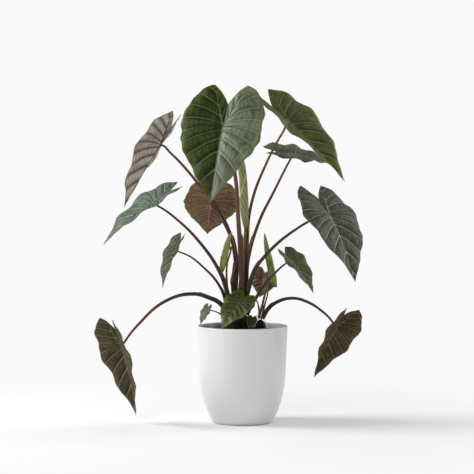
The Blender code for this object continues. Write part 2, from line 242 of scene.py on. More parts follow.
def turned_mesh(name, profile, turns):
    """A surface of revolution from (radius, height) points, with its outer side on the left of the profile.
    A point on the axis becomes one vertex."""
    verts, rings, faces = [], [], []
    for r, z in profile:
        count = turns if r > 0 else 1
        rings.append([len(verts) + turn % count for turn in range(turns)])
        for turn in range(count):
            angle = 2 * math.pi * turn / turns
            verts.append((r * math.cos(angle), r * math.sin(angle), z))
    for ring, after in zip(rings, rings[1:]):
        for turn in range(turns):
            following = (turn + 1) % turns
            corners = (ring[turn], after[turn], after[following], ring[following])
            faces.append(tuple(dict.fromkeys(corners)))
    mesh = bpy.data.meshes.new(name)
    mesh.from_pydata(verts, [], faces)
    mesh.shade_smooth()
    return mesh


print("piece helpers ready")

# %% [markdown]
# ## The pot
# The pot is slip-cast: a plaster mould gives it a smooth wall with a straight flare that rounds in to a small
# foot. A lathe does the same job here. One profile is turned round the axis, with many points where it bends,
# so the satin glaze shows one clean gradient. The foot ring is left unglazed, as it would stick in the kiln.

# %% Pot sizes
POT_HEIGHT = 192 * MM
RIM_RADIUS = 90 * MM
WAIST_HEIGHT = 95 * MM
WAIST_RADIUS = 85.5 * MM
FOOT_RADIUS = 59 * MM
TUCK_POWER = 2.2
POT_WALL = 4.5 * MM
POT_FLOOR = 7 * MM
FOOT_EDGE = 3 * MM
FOOT_RING = 7 * MM
FOOT_SLOPE = 1 * MM
FOOT_HOLLOW = 0.8 * MM


def pot_radius(z):
    slope = (RIM_RADIUS - WAIST_RADIUS) / (POT_HEIGHT - WAIST_HEIGHT)
    flare = WAIST_RADIUS + slope * (z - WAIST_HEIGHT)
    tuck = WAIST_RADIUS - slope * WAIST_HEIGHT - FOOT_RADIUS
    return flare - tuck * max(0.0, 1 - z / WAIST_HEIGHT) ** TUCK_POWER


print("rim", round(2000 * pot_radius(POT_HEIGHT)), "mm wide")

# %% Pot shape
lip = POT_WALL / 2
inner_heights = np.linspace(POT_FLOOR + POT_WALL, POT_HEIGHT - lip, 50)
outer_heights = np.linspace(POT_HEIGHT - lip, FOOT_EDGE, 70)
corner = pot_radius(inner_heights[0]) - 2 * POT_WALL
profile = [(0, POT_FLOOR), (corner, POT_FLOOR)]
for step in range(1, 8):
    angle = math.pi / 2 * step / 8
    profile.append((corner + POT_WALL * math.sin(angle), POT_FLOOR + POT_WALL * (1 - math.cos(angle))))
profile += [(pot_radius(z) - POT_WALL, z) for z in inner_heights]
for step in range(1, 12):
    angle = math.pi * (1 - step / 12)
    profile.append((RIM_RADIUS - lip + lip * math.cos(angle), POT_HEIGHT - lip + lip * math.sin(angle)))
profile += [(pot_radius(z), z) for z in outer_heights]
for step in range(1, 7):
    angle = math.pi / 2 * step / 6
    profile.append((FOOT_RADIUS - FOOT_EDGE + FOOT_EDGE * math.cos(angle), FOOT_EDGE * (1 - math.sin(angle))))
profile += [
    (FOOT_RADIUS - FOOT_RING, 0),
    (FOOT_RADIUS - FOOT_RING - FOOT_SLOPE, FOOT_HOLLOW),
    (0, FOOT_HOLLOW),
]
pot_mesh = turned_mesh("pot_shell", profile, 160)
print("pot:", len(pot_mesh.polygons), "faces")

# %% Satin glaze
BARE_CLAY_HEIGHT = 0.9 * MM
GLAZE_HEIGHT = 1.6 * MM
glaze, tree, shader, place = start_material("satin_glaze", 0.42)
height = add_node(tree, "ShaderNodeSeparateXYZ", place).outputs[2]
flat = add_node(tree, "ShaderNodeVectorMath", place, (1.0, 1.0, 0.0), operation="MULTIPLY").outputs[0]
reach = add_node(tree, "ShaderNodeVectorMath", flat, operation="LENGTH").outputs[1]
inside = fade(tree, reach, RIM_RADIUS - 0.4 * POT_WALL, RIM_RADIUS - 0.8 * POT_WALL)
# Painted shade: the inner wall high up, above the soil, is painted darker in broken patches for the shadow
# inside the rim.
inner_shade_zone = times(tree, inside, fade(tree, height, 150 * MM, 165 * MM))
cloud = speckle(tree, place, 9, 4)
white = blend(tree, cloud, (0.675, 0.675, 0.67), (0.71, 0.71, 0.71))
clay = blend(tree, speckle(tree, place, 400), (0.62, 0.58, 0.52), (0.72, 0.68, 0.62))
painted_inner_shade = times(tree, inner_shade_zone, fade(tree, speckle(tree, place, 60, 5), 0.2, 0.6))
white = blend(tree, painted_inner_shade, white, (0.34, 0.33, 0.315))
glazed = fade(tree, height, BARE_CLAY_HEIGHT, GLAZE_HEIGHT)
tree.links.new(blend(tree, glazed, clay, white), shader.inputs["Base Color"])
rough = map_range(tree, speckle(tree, place, 30, 5), (0.3, 0.7), (0.38, 0.48))
tree.links.new(rough, shader.inputs["Roughness"])
shader.inputs["Coat Weight"].default_value = 0.15
shader.inputs["Coat Roughness"].default_value = 0.3
pits = speckle(tree, place, 220, 2)
tree.links.new(bump(tree, pits, 0.12, 0.2 * MM), shader.inputs["Normal"])
pot = finish_piece("glazed_pot", pot_mesh, [glaze], "pot")
print("pot finished")

# %% [markdown]
# ## Things that are strewn
# Crumbs, bark chips and grit lie on the soil by the hundred, and root fibres cover the corms. Placing them by
# hand would take days, so one Geometry Nodes tree strews any small piece over any surface. Its inputs are the
# piece, how many for each square metre, the smallest and largest scale, how far it may tilt, and a seed.


# %% Strewing tree
def make_strewing_tree():
    tree = bpy.data.node_groups.new("strewing", "GeometryNodeTree")
    for name, kind in (
        ("Surface", "Geometry"), ("Piece", "Object"), ("Density", "Float"), ("Smallest", "Float"),
        ("Largest", "Float"), ("Tilt", "Vector"), ("Seed", "Int"), ("Finish", "Material"),
    ):
        tree.interface.new_socket(name=name, in_out="INPUT", socket_type="NodeSocket" + kind)
    tree.interface.new_socket(name="Strewn", in_out="OUTPUT", socket_type="NodeSocketGeometry")
    given = tree.nodes.new("NodeGroupInput").outputs
    points = tree.nodes.new("GeometryNodeDistributePointsOnFaces")
    wire(tree, points.inputs["Mesh"], given["Surface"])
    wire(tree, points.inputs["Density"], given["Density"])
    wire(tree, points.inputs["Seed"], given["Seed"])
    size = add_node(tree, "FunctionNodeRandomValue", data_type="FLOAT")
    wire(tree, size.inputs[2], given["Smallest"])
    wire(tree, size.inputs[3], given["Largest"])
    wire(tree, size.inputs[8], given["Seed"])
    most = given["Tilt"]
    least = add_node(tree, "ShaderNodeVectorMath", most, operation="SCALE")
    least.inputs["Scale"].default_value = -1
    turn = add_node(tree, "FunctionNodeRandomValue", least.outputs[0], most, data_type="FLOAT_VECTOR")
    tilt = add_node(tree, "FunctionNodeEulerToRotation", turn.outputs[0])
    lie = add_node(tree, "FunctionNodeRotateRotation", points.outputs["Rotation"], tilt.outputs[0])
    lie.rotation_space = "LOCAL"
    piece = add_node(tree, "GeometryNodeObjectInfo", given["Piece"])
    strewn = tree.nodes.new("GeometryNodeInstanceOnPoints")
    wire(tree, strewn.inputs["Points"], points.outputs["Points"])
    wire(tree, strewn.inputs["Instance"], piece.outputs["Geometry"])
    wire(tree, strewn.inputs["Rotation"], lie.outputs[0])
    wire(tree, strewn.inputs["Scale"], size.outputs[1])
    real = add_node(tree, "GeometryNodeRealizeInstances", strewn.outputs[0])
    done = tree.nodes.new("GeometryNodeSetMaterial")
    wire(tree, done.inputs["Geometry"], real.outputs[0])
    wire(tree, done.inputs["Material"], given["Finish"])
    tree.links.new(done.outputs[0], tree.nodes.new("NodeGroupOutput").inputs[0])
    return tree


strewing = make_strewing_tree()
print("strewing tree:", len(strewing.nodes), "nodes")


# %% Run a tree
def run_tree(tree, source, name, inputs):
    """Evaluate the tree on the source object's data and return the result as a plain mesh."""
    carrier = bpy.data.objects.new("carrier", source)
    scene.collection.objects.link(carrier)
    modifier = carrier.modifiers.new("tree", "NODES")
    modifier.node_group = tree
    for item in tree.interface.items_tree:
        if item.in_out == "INPUT" and item.name in inputs:
            modifier[item.identifier] = inputs[item.name]
    carrier.update_tag()
    ready = carrier.evaluated_get(bpy.context.evaluated_depsgraph_get())
    mesh = bpy.data.meshes.new_from_object(ready)
    mesh.name = name
    bpy.data.objects.remove(carrier)
    return mesh


def strew(name, surface, piece_mesh, density, sizes, tilt, seed, material):
    piece = bpy.data.objects.new("small_piece", piece_mesh)
    scene.collection.objects.link(piece)
    inputs = {
        "Piece": piece, "Density": density, "Smallest": sizes[0], "Largest": sizes[1], "Tilt": tilt,
        "Seed": seed, "Finish": material,
    }
    mesh = run_tree(strewing, surface, name, inputs)
    bpy.data.objects.remove(piece)
    print(name, "has", len(mesh.polygons), "faces")
    return mesh


# %% [markdown]
# ## The soil
# Potting soil is peat and composted bark. Its surface is a low mound that is all lumps, so the sheet here is
# a fine disc pushed up and down by noise at two scales. The lumps on their own would look like melted wax:
# crumbs, chips and a little pale grit strewn over them give the broken edge that reads as earth.

# %% Soil sheet
SOIL_BELOW_RIM = 13 * MM
SOIL_MOUND = 7 * MM
SOIL_GAP = 0.3 * MM
SOIL_SURFACE = POT_HEIGHT - SOIL_BELOW_RIM
SOIL_EDGE = pot_radius(SOIL_SURFACE) - POT_WALL - SOIL_GAP
SOIL_RINGS = 60
SOIL_TURNS = 200


def soil_height(x, y):
    out = min(1.0, math.hypot(x, y) / SOIL_EDGE)
    coarse = noise.noise(Vector((x, y, 0.3)) * 70) * 2.2 * MM
    fine = noise.noise(Vector((x, y, 0.7)) * 230) * 1.1 * MM
    lumps = coarse + fine
    return SOIL_SURFACE + SOIL_MOUND * (1 - out**1.6) + lumps * (1 - out**8)


def make_soil_mesh():
    verts = [(0, 0, soil_height(0, 0))]
    for ring in range(1, SOIL_RINGS + 1):
        r = SOIL_EDGE * ring / SOIL_RINGS
        for turn in range(SOIL_TURNS):
            angle = 2 * math.pi * turn / SOIL_TURNS
            x, y = r * math.cos(angle), r * math.sin(angle)
            verts.append((x, y, soil_height(x, y)))
    depths = [SOIL_SURFACE - 20 * MM, WAIST_HEIGHT, 60 * MM, 35 * MM, 20 * MM, POT_FLOOR + 6 * MM]
    for z in depths:
        r = pot_radius(z) - POT_WALL - SOIL_GAP
        for turn in range(SOIL_TURNS):
            angle = 2 * math.pi * turn / SOIL_TURNS
            verts.append((r * math.cos(angle), r * math.sin(angle), z))
    faces = [(0, 1 + turn, 1 + (turn + 1) % SOIL_TURNS) for turn in range(SOIL_TURNS)]
    for ring in range(SOIL_RINGS - 1 + len(depths)):
        low = 1 + ring * SOIL_TURNS
        for turn in range(SOIL_TURNS):
            after = (turn + 1) % SOIL_TURNS
            faces.append((low + turn, low + SOIL_TURNS + turn, low + SOIL_TURNS + after, low + after))
    last = 1 + (SOIL_RINGS - 1 + len(depths)) * SOIL_TURNS
    faces.append(tuple(last + turn for turn in reversed(range(SOIL_TURNS))))
    mesh = bpy.data.meshes.new("soil_sheet")
    mesh.from_pydata(verts, [], faces)
    mesh.shade_smooth()
    return mesh


soil_mesh = make_soil_mesh()
print("soil:", len(soil_mesh.polygons), "faces")


# %% Earth materials
def earthy(name, dark, light, scale):
    material, tree, shader, place = start_material(name, 0.95)
    patches = fade(tree, speckle(tree, place, scale, 6, 0.65), 0.35, 0.68)
    tree.links.new(blend(tree, patches, dark, light), shader.inputs["Base Color"])
    grain = speckle(tree, place, scale * 6, 4, 0.7)
    tree.links.new(bump(tree, grain, 0.8, 0.8 * MM), shader.inputs["Normal"])
    shader.inputs["Specular IOR Level"].default_value = 0.25
    return material


peat = earthy("dark_peat", (0.012, 0.009, 0.007), (0.05, 0.034, 0.024), 140)
bark = earthy("bark_chip", (0.035, 0.02, 0.012), (0.13, 0.075, 0.04), 220)
grit = earthy("pale_grit", (0.12, 0.10, 0.075), (0.26, 0.23, 0.18), 300)
soil = finish_piece("potting_soil", soil_mesh, [peat], "soil")


# %% Small pieces
def small_lump(name, stretch, seed, subdivisions):
    """A rough lump of 20 or 80 faces, about one metre across before it is scaled."""
    bm = bmesh.new()
    bmesh.ops.create_icosphere(bm, subdivisions=subdivisions, radius=0.5)
    for vert in bm.verts:
        shake = 1 + 0.55 * noise.noise(vert.co * 2.6 + Vector((seed, 0, 0)))
        vert.co = Vector((vert.co.x * stretch[0], vert.co.y * stretch[1], vert.co.z * stretch[2])) * shake
    mesh = bpy.data.meshes.new(name)
    bm.to_mesh(mesh)
    bm.free()
    return mesh


STREWN_CLEAR_OF_WALL = 3 * MM
LOWEST_TOP = 170 * MM
LEAST_LEVEL = 0.3


def make_soil_top():
    """Only the upper faces of the soil sheet, clear of the pot's wall, for things to lie on."""
    bm = bmesh.new()
    bm.from_mesh(soil_mesh)
    unwanted = []
    for face in bm.faces:
        middle = face.calc_center_median()
        beside_wall = middle.xy.length > SOIL_EDGE - STREWN_CLEAR_OF_WALL
        if face.normal.z < LEAST_LEVEL or middle.z < LOWEST_TOP or beside_wall:
            unwanted.append(face)
    bmesh.ops.delete(bm, geom=unwanted, context="FACES")
    mesh = bpy.data.meshes.new("soil_top")
    bm.to_mesh(mesh)
    bm.free()
    return mesh


soil_top = make_soil_top()
print("strewing area:", len(soil_top.polygons), "faces")

# %% Strew the soil
ROUND = (3.14, 3.14, 3.14)
FLAT = (0.5, 0.5, 3.14)
crumb = small_lump("crumb", (1, 0.9, 0.7), 1.0, 1)
chip = small_lump("chip", (1, 0.45, 0.16), 4.0, 2)
for name, lump, density, sizes, tilt, seed, material in (
    ("soil_crumbs", crumb, 62000, (0.0012, 0.0042), ROUND, 3, peat),
    ("soil_bark_chips", chip, 9000, (0.004, 0.012), FLAT, 5, bark),
    ("soil_grit", crumb, 1800, (0.0010, 0.0022), ROUND, 8, grit),
):
    strewn = strew(name, soil_top, lump, density, sizes, tilt, seed, material)
    finish_piece(name, strewn, [material], None)

# %% [markdown]
# ## The corms
# A corm is a swollen stem. The big one carries all the old leaves and shows the rings where earlier ones fell
# off, under a coat of dark fibres; the small one beside it has begun to make leaves of its own. Each is
# turned on the same profile as its CAD solid and then roughened, and the strewing tree lays the fibres on it.

# %% Corm shape
CORM_BURIED = 30 * MM
CORMS = [
    dict(name="corm", place=(-11, -1), radius=25, top=222),
    dict(name="corm_offset", place=(36, 4), radius=11, top=203),
]
CORM_OUTLINE = [
    (0, 1.0), (0.3, 1.0), (0.62, 0.95), (0.86, 0.84), (0.96, 0.68), (1.0, 0.5), (0.86, 0.25), (0.5, 0.06),
    (0, 0),
]


def make_corm_mesh(corm):
    """The outline is given as shares of the corm's radius and height, from its crown down to its base."""
    bottom = SOIL_SURFACE - CORM_BURIED
    height = corm["top"] * MM - bottom
    radius = corm["radius"] * MM
    knots = np.linspace(0, 1, len(CORM_OUTLINE))
    fine = np.linspace(0, 1, 60)
    rs = np.interp(fine, knots, [out for out, _ in CORM_OUTLINE]) * radius
    zs = bottom + np.interp(fine, knots, [up for _, up in CORM_OUTLINE]) * height
    mesh = turned_mesh(corm["name"], list(zip(rs, zs)), 64)
    for vert in mesh.vertices:
        co = vert.co
        out = Vector((co.x, co.y, 0))
        rings = 0.5 * MM * math.sin(co.z / (1.1 * MM) + 3 * noise.noise(co * 40))
        rough = 1.2 * MM * noise.noise(co * 160 + Vector((corm["radius"], 0, 0)))
        if out.length > 1 * MM:
            vert.co += out.normalized() * (rings + rough - 0.6 * MM)
        vert.co += Vector((corm["place"][0] * MM, corm["place"][1] * MM, 0))
    return mesh


husk = earthy("corm_husk", (0.018, 0.009, 0.007), (0.085, 0.045, 0.032), 120)
fibre_finish = earthy("root_fibre", (0.04, 0.02, 0.013), (0.16, 0.09, 0.055), 180)


# %% Fibres
def fibre_mesh(bend):
    """A thin bent strand, one metre long, lying along its own X."""
    verts, faces = [], []
    for step in range(6):
        along = step / 5
        thick = 0.022 * (1 - 0.7 * along)
        middle = Vector((along - 0.5, bend * math.sin(4 * along), 0.06 + 0.08 * math.sin(3 * along)))
        for corner in range(3):
            angle = 2 * math.pi * corner / 3
            verts.append(middle + Vector((0, thick * math.cos(angle), thick * math.sin(angle))))
    for step in range(5):
        for corner in range(3):
            a, b = 3 * step + corner, 3 * step + (corner + 1) % 3
            faces.append((a, b, b + 3, a + 3))
    faces += [(2, 1, 0), (15, 16, 17)]
    mesh = bpy.data.meshes.new("fibre")
    mesh.from_pydata(verts, [], faces)
    return mesh


for index, corm in enumerate(CORMS):
    body = make_corm_mesh(corm)
    fibres = strew(
        corm["name"] + "_fibres", body, fibre_mesh(0.12), 42000, (0.006, 0.016), (0.25, 0.25, 3.14),
        21 + index, fibre_finish,
    )
    finish_piece(corm["name"] + "_body", body, [husk], corm["name"])
    finish_piece(corm["name"] + "_coat", fibres, [fibre_finish], None)

# %% [markdown]
# ## The plant's measurements
# Every leaf is one row of the same table: the hub where the stalk meets the blade, the tip, the way the
# upper side faces, the blade's lengths and angles, the stalk's two radii and the points it passes. Lengths
# are in millimetres and angles in degrees, as they are easier to read so, and each row is turned into metres
# where it is used.

# %% Open leaves
LEAVES = [
    dict(name="top", hub=(-38, -70, 585), tip=(-62, -112, 439), faces=(-0.3, -0.8, 0.5),
         lobe=88, width=172, pointed=0.2, fold=15, arch=10, ripple=4, wave=0, foot=5.6, neck=3.2,
         route=[(-6, -11, 227), (-2, -16, 262), (-3, -24, 313), (-8, -36, 402), (-14, -48, 487),
                (-29, -60, 560)]),
    dict(name="top_right", hub=(95, 50, 595), tip=(204, 25, 478), faces=(0.35, -0.4, 0.85),
         lobe=82, width=132, pointed=0.7, fold=28, arch=8, ripple=3, wave=40, foot=4.2, neck=2.2,
         route=[(-4, 11, 227), (4, 20, 275), (9, 27, 340), (17, 34, 428), (51, 42, 520), (82, 47, 577)]),
    dict(name="back_right", hub=(104, 90, 532), tip=(178, 113, 511), faces=(0.35, -0.3, 0.9),
         lobe=62, width=86, pointed=0.6, fold=16, arch=12, ripple=3, wave=80, foot=4.2, neck=2.0,
         route=[(6, 2, 226), (8, 3, 275), (12, 9, 324), (33, 20, 396), (64, 46, 458), (95, 79, 517)]),
    dict(name="top_left", hub=(-165, 60, 551), tip=(-239, 72, 424), faces=(-0.6, 0.35, 0.7),
         lobe=72, width=106, pointed=0.6, fold=30, arch=6, ripple=3, wave=120, foot=5.0, neck=2.2,
         route=[(-17, 2, 225), (-13, 4, 272), (-13, 6, 318), (-32, 14, 392), (-99, 34, 486),
                (-146, 52, 536)]),
    dict(name="left", hub=(-177, -40, 437), tip=(-272, -52, 355), faces=(-0.4, -0.25, 0.9),
         lobe=66, width=116, pointed=0.7, fold=20, arch=16, ripple=3, wave=160, foot=4.4, neck=2.2,
         route=[(-23, -9, 222), (-30, -16, 256), (-45, -24, 300), (-85, -33, 360), (-137, -38, 411),
                (-165, -40, 430)]),
    dict(name="left_small", hub=(-132, -10, 341), tip=(-158, -19, 268), faces=(-0.8, -0.35, 0.5),
         lobe=38, width=66, pointed=0.6, fold=28, arch=12, ripple=2, wave=200, foot=3.4, neck=1.6,
         route=[(-31, 0, 218), (-38, -4, 255), (-54, -6, 284), (-76, -8, 307), (-101, -9, 328),
                (-123, -10, 338)]),
    dict(name="low_left", hub=(-238, -50, 156), tip=(-211, -25, 17), faces=(-0.8, -0.6, 0.0),
         lobe=66, width=108, pointed=0.6, fold=31, arch=-14, ripple=3, wave=240, foot=4.6, neck=2.2,
         route=[(-31, -17, 217), (-45, -21, 238), (-66, -25, 249), (-96, -31, 257), (-150, -37, 244),
                (-206, -43, 196), (-231, -46, 164)]),
    dict(name="low_right", hub=(186, -30, 191), tip=(142, -14, 90), faces=(0.74, -0.66, -0.05),
         lobe=52, width=98, pointed=0.6, fold=32, arch=-14, ripple=3, wave=280, foot=4.2, neck=2.0,
         route=[(40, -1, 206), (52, -3, 226), (70, -8, 240), (94, -12, 247), (121, -16, 243),
                (163, -20, 217), (179, -23, 199)]),
    dict(name="right", hub=(170, -40, 412), tip=(218, -98, 285), faces=(0.6, -0.65, 0.4),
         lobe=78, width=138, pointed=0.6, fold=14, arch=20, ripple=3, wave=320, foot=4.6, neck=2.2,
         route=[(4, -17, 225), (12, -25, 264), (24, -28, 303), (42, -30, 329), (103, -33, 383),
                (155, -34, 409)]),
    dict(name="right_small", hub=(97, -15, 322), tip=(140, -35, 258), faces=(0.55, -0.45, 0.7),
         lobe=33, width=68, pointed=0.6, fold=26, arch=16, ripple=2, wave=10, foot=3.6, neck=1.7,
         route=[(10, -16, 215), (19, -25, 235), (30, -25, 253), (45, -22, 276), (65, -18, 298),
                (88, -12, 317)]),
    dict(name="back", hub=(-63, 80, 433), tip=(-71, 102, 369), faces=(-0.1, 0.95, 0.3),
         lobe=52, width=110, pointed=0.1, fold=8, arch=16, ripple=3, wave=50, foot=3.6, neck=1.9,
         route=[(-14, 14, 223), (-20, 18, 275), (-15, 22, 307), (-17, 30, 341), (-42, 56, 402),
                (-58, 72, 425)]),
    dict(name="purple_small", hub=(42, 45, 282), tip=(35, 52, 244), faces=(-0.4, -0.8, 0.3),
         lobe=22, width=60, pointed=0.2, fold=12, arch=16, ripple=2, wave=90, foot=2.0, neck=1.2,
         route=[(39, 15, 205), (45, 34, 231), (51, 53, 256), (48, 53, 274)]),
    dict(name="juvenile", hub=(-6, -50, 241), tip=(-41, -68, 189), faces=(-0.5, -0.8, 0.3),
         lobe=28, width=68, pointed=0.2, fold=14, arch=22, ripple=3, wave=130, foot=1.6, neck=1.2,
         route=[(33, -4, 206), (32, -14, 228), (26, -33, 246), (15, -36, 254), (3, -39, 249)]),
    dict(name="tiny", hub=(19, -42, 208), tip=(12, -50, 188), faces=(0.0, -0.9, 0.4),
         lobe=8, width=21, pointed=0.1, fold=6, arch=16, ripple=1, wave=170, foot=1.2, neck=0.9,
         route=[(37, -7, 204), (38, -16, 209), (32, -29, 213), (23, -37, 212)]),
    dict(name="edge_small", hub=(-73, -5, 221), tip=(-83, -8, 194), faces=(-0.7, -0.6, 0.3),
         lobe=17, width=27, pointed=0.3, fold=15, arch=16, ripple=1, wave=210, foot=1.6, neck=1.1,
         route=[(-37, -5, 208), (-45, -6, 216), (-57, -4, 221), (-67, -2, 222)]),
]

# %% Rolled leaves
ROLLED = [
    dict(name="tall", axis=[(6, 20, 384), (4, 18, 430), (-1, 13, 500), (-10, 10, 560)], radius=9.4,
         foot=3.2, neck=3.0, route=[(-6, 1, 228), (-4, 9, 272), (1, 16, 317), (4, 19, 351), (6, 20, 382)]),
    dict(name="left", axis=[(-40, -14, 299), (-37, -13, 322), (-31, -12, 350), (-22, -12, 378)], radius=7.4,
         foot=2.4, neck=1.8, route=[(-28, 11, 219), (-30, 6, 262), (-31, 0, 310), (-24, -2, 348)]),
    dict(name="right", axis=[(66, 12, 267), (60, 13, 290), (53, 14, 320), (44, 15, 375)], radius=8.5,
         foot=2.6, neck=2.0, route=[(33, 12, 206), (40, 18, 232), (46, 20, 256), (53, 22, 276)]),
]
print(len(LEAVES), "open leaves and", len(ROLLED), "rolled ones")

# %% [markdown]
# ## The shape of a blade
# A leaf of this kind is an arrowhead. The midrib runs from the hub to the tip, and a rib runs back into each
# lobe. Side veins leave these ribs and curve forward to the margin, and the skin bulges up between them like
# a quilt. So the grid of the mesh follows the veins: one coordinate, share, runs round the margin from the
# tip (0) to the lobe's tip (1), and the other, across, runs along each vein from the rib (0) to the margin
# (1). Both are kept on the mesh, with across negative on one half, so that a finish can tell the two halves
# apart.

# %% Blade outline
SINUS = 0.56
SEAM = 0.4
LOBE_TIP = 0.40
NOTCH_OPEN = 0.7
RIPPLE_START = 0.25
SHOULDER = 0.60
LAST_LATERAL = 0.54
FULLNESS = 1.75
POINT = 0.4
WAVES = 3.5
VEIN_START = 1.9
LOBE_VEIN_START = 1.7
VEIN_BOW = 0.2
DROOP = 0.10
CREASE = 4 * MM


def margin_point(share, leaf):
    half = leaf["width"] / 2
    if share < SHOULDER:
        x = 1 - share / SHOULDER
        return leaf["front"] * x, half * (1 - x**FULLNESS) * (1 - POINT * x**3)
    past = (share - SHOULDER) / (1 - SHOULDER)
    turn = math.pi / 2 * past
    back = (1 - leaf["pointed"]) * math.sin(turn) + leaf["pointed"] * past
    wide = (1 - leaf["pointed"]) * math.cos(turn) + leaf["pointed"] * (1 - past**2)
    return -leaf["lobe"] * back, half * (LOBE_TIP + (1 - LOBE_TIP) * wide)


def rib_point(share, leaf):
    if share < LAST_LATERAL:
        return leaf["front"] * (1 - share / LAST_LATERAL) ** VEIN_START, 0.0
    along = ((share - LAST_LATERAL) / (1 - LAST_LATERAL)) ** LOBE_VEIN_START
    return -leaf["lobe"] * along, leaf["width"] / 2 * LOBE_TIP * along


def inner_point(along, leaf):
    joined = SINUS * leaf["lobe"]
    if along < SEAM:
        return -joined * along / SEAM, 0.0
    past = (along - SEAM) / (1 - SEAM)
    turn = math.pi / 2 * past
    back = NOTCH_OPEN * past + (1 - NOTCH_OPEN) * math.sin(turn)
    wide = NOTCH_OPEN * past + (1 - NOTCH_OPEN) * (1 - math.cos(turn))
    return -(joined + (leaf["lobe"] - joined) * back), leaf["width"] / 2 * LOBE_TIP * wide


def in_metres(row):
    """The row's lengths in metres, and the frame that its blade is built in."""
    leaf = {**row, **{key: row[key] * MM for key in ("lobe", "width", "ripple", "foot", "neck")}}
    hub = Vector(row["hub"]) * MM
    chord = Vector(row["tip"]) * MM - hub
    ahead = chord.normalized()
    up = Vector(row["faces"])
    up = (up - up.dot(ahead) * ahead).normalized()
    arch = math.radians(row["arch"])
    leaf.update(hub=hub, ahead=ahead, up=up, sideways=up.cross(ahead), arch=arch)
    leaf["bow"] = chord.length / (2 * math.sin(arch / 2))
    leaf["front"] = leaf["bow"] * arch
    return leaf


print("widest blade:", max(row["width"] for row in LEAVES), "mm")

# %% Veins
VEINS = 10
FIRST_VEIN = 0.04


def vein_phase(share):
    """0 on a side vein and 0.5 half way between two."""
    x = (share - FIRST_VEIN) * VEINS
    return abs(x - round(x))


def quilt(share, across, leaf):
    """How far the skin bulges between two veins."""
    open_ends = min(1.0, 5 * across) * min(1.0, 3 * (1 - across))
    return leaf["width"] * 0.019 * math.sin(math.pi * vein_phase(share)) ** 0.8 * open_ends


def underside_ribs(s, w, share, across, reach, leaf):
    """How far the midrib, the lobe ribs and the side veins stand out below the skin."""
    forward = max(0.0, min(1.0, s / leaf["front"]))
    rib = leaf["neck"] * (1.0 - 0.8 * forward)
    near = abs(w) if s > 0 else across * reach
    if s <= 0:
        rib *= 0.75 * (1 - min(1.0, -s / leaf["lobe"])) + 0.1
    ridge = rib * math.exp(-((near / max(0.3 * MM, 0.8 * rib)) ** 2))
    side = 0.012 * leaf["width"] * (1 - across) * math.exp(-((vein_phase(share) / 0.09) ** 2))
    return max(ridge, min(side, 0.9 * MM))


def skin_point(first, second, across, bend, side, share, leaf):
    """A point of the folded and arched skin in world space, with how thick the ribs below it are."""
    reach = math.hypot(second[0] - first[0], second[1] - first[1])
    s = first[0] + (second[0] - first[0]) * across - bend * reach * across * (1 - across)
    w = first[1] + (second[1] - first[1]) * across
    lift = math.tan(math.radians(leaf["fold"])) * (math.hypot(w, CREASE) - CREASE)
    droop = DROOP * leaf["width"] * (w / (leaf["width"] / 2)) ** 2
    wave = math.sin(2 * math.pi * WAVES * share + math.radians(leaf["wave"]) + side)
    half = 0.5 * leaf["width"]
    free = min(1.0, reach / half) * min(1.0, w / (RIPPLE_START * half))
    height = lift - droop + leaf["ripple"] * wave * across**3 * free
    height += quilt(share, across, leaf) * min(1.0, reach / (0.3 * leaf["width"]))
    drift = Vector((s, side * w, leaf["wave"])) / leaf["width"] * 2.4
    height += 0.012 * leaf["width"] * noise.noise(drift) * min(1.0, 4 * across)
    frill = noise.noise(Vector((share * 9, side * 3, leaf["wave"] * 0.1)))
    uneven = 1 + across**3 * free * (0.05 * (vein_phase(share) - 0.25) + 0.05 * frill)
    s *= uneven
    w *= uneven
    angle = s / leaf["bow"] - leaf["arch"] / 2
    out = leaf["bow"] + height
    x = out * math.sin(angle) + leaf["bow"] * math.sin(leaf["arch"] / 2)
    y = out * math.cos(angle) - leaf["bow"] * math.cos(leaf["arch"] / 2)
    place = leaf["hub"] + x * leaf["ahead"] + side * w * leaf["sideways"] + y * leaf["up"]
    return place, underside_ribs(s, w, share, across, reach, leaf), (1 - across) * reach


print(VEINS, "side veins in each half")

# %% [markdown]
# ## Building a blade
# First comes one skin without thickness: an outer patch beside the midrib and an inner one beside the sinus,
# on each half. Where patches meet their points coincide and are merged. The skin is then doubled along its
# normals into an upper and a lower face, the lower one pushed out where ribs are, and closed along the
# margin.


# %% Patches
ROW_SPREAD = 1.35
FARTHEST_EDGE = 60 * MM


def half_patches(columns, rows):
    """The lines of one half's outer and inner patch. Each point is share, across, and how far along the
    sinus its line ends, which is None in the outer patch."""
    spread = [(row / rows) ** ROW_SPREAD for row in range(rows + 1)]
    outer = [[(column / columns, across, None) for across in spread] for column in range(columns + 1)]
    inner = []
    lobe_columns = round(columns * (1 - LAST_LATERAL))
    for column in range(lobe_columns + 1):
        share = LAST_LATERAL + (1 - LAST_LATERAL) * column / lobe_columns
        inner.append([(share, across, column / lobe_columns) for across in spread])
    return outer, inner


def add_skin_vert(bm, leaf, side, share, across, along):
    """A vertex of the skin, with its place among the veins, its distance from the margin and its rib."""
    first = rib_point(share, leaf)
    second = margin_point(share, leaf) if along is None else inner_point(along, leaf)
    bend = VEIN_BOW if along is None else 0.0
    place, rib, edge = skin_point(first, second, across, bend, side, share, leaf)
    if along is not None and along < SEAM:
        edge = leaf["width"]
    vert = bm.verts.new(place)
    vert[bm.verts.layers.float_vector["veins"]] = (share, across * side, min(edge, FARTHEST_EDGE) / MM)
    vert[bm.verts.layers.float["rib"]] = rib
    return vert


print(len(half_patches(100, 20)[0]), "lines in the outer patch of a large leaf")


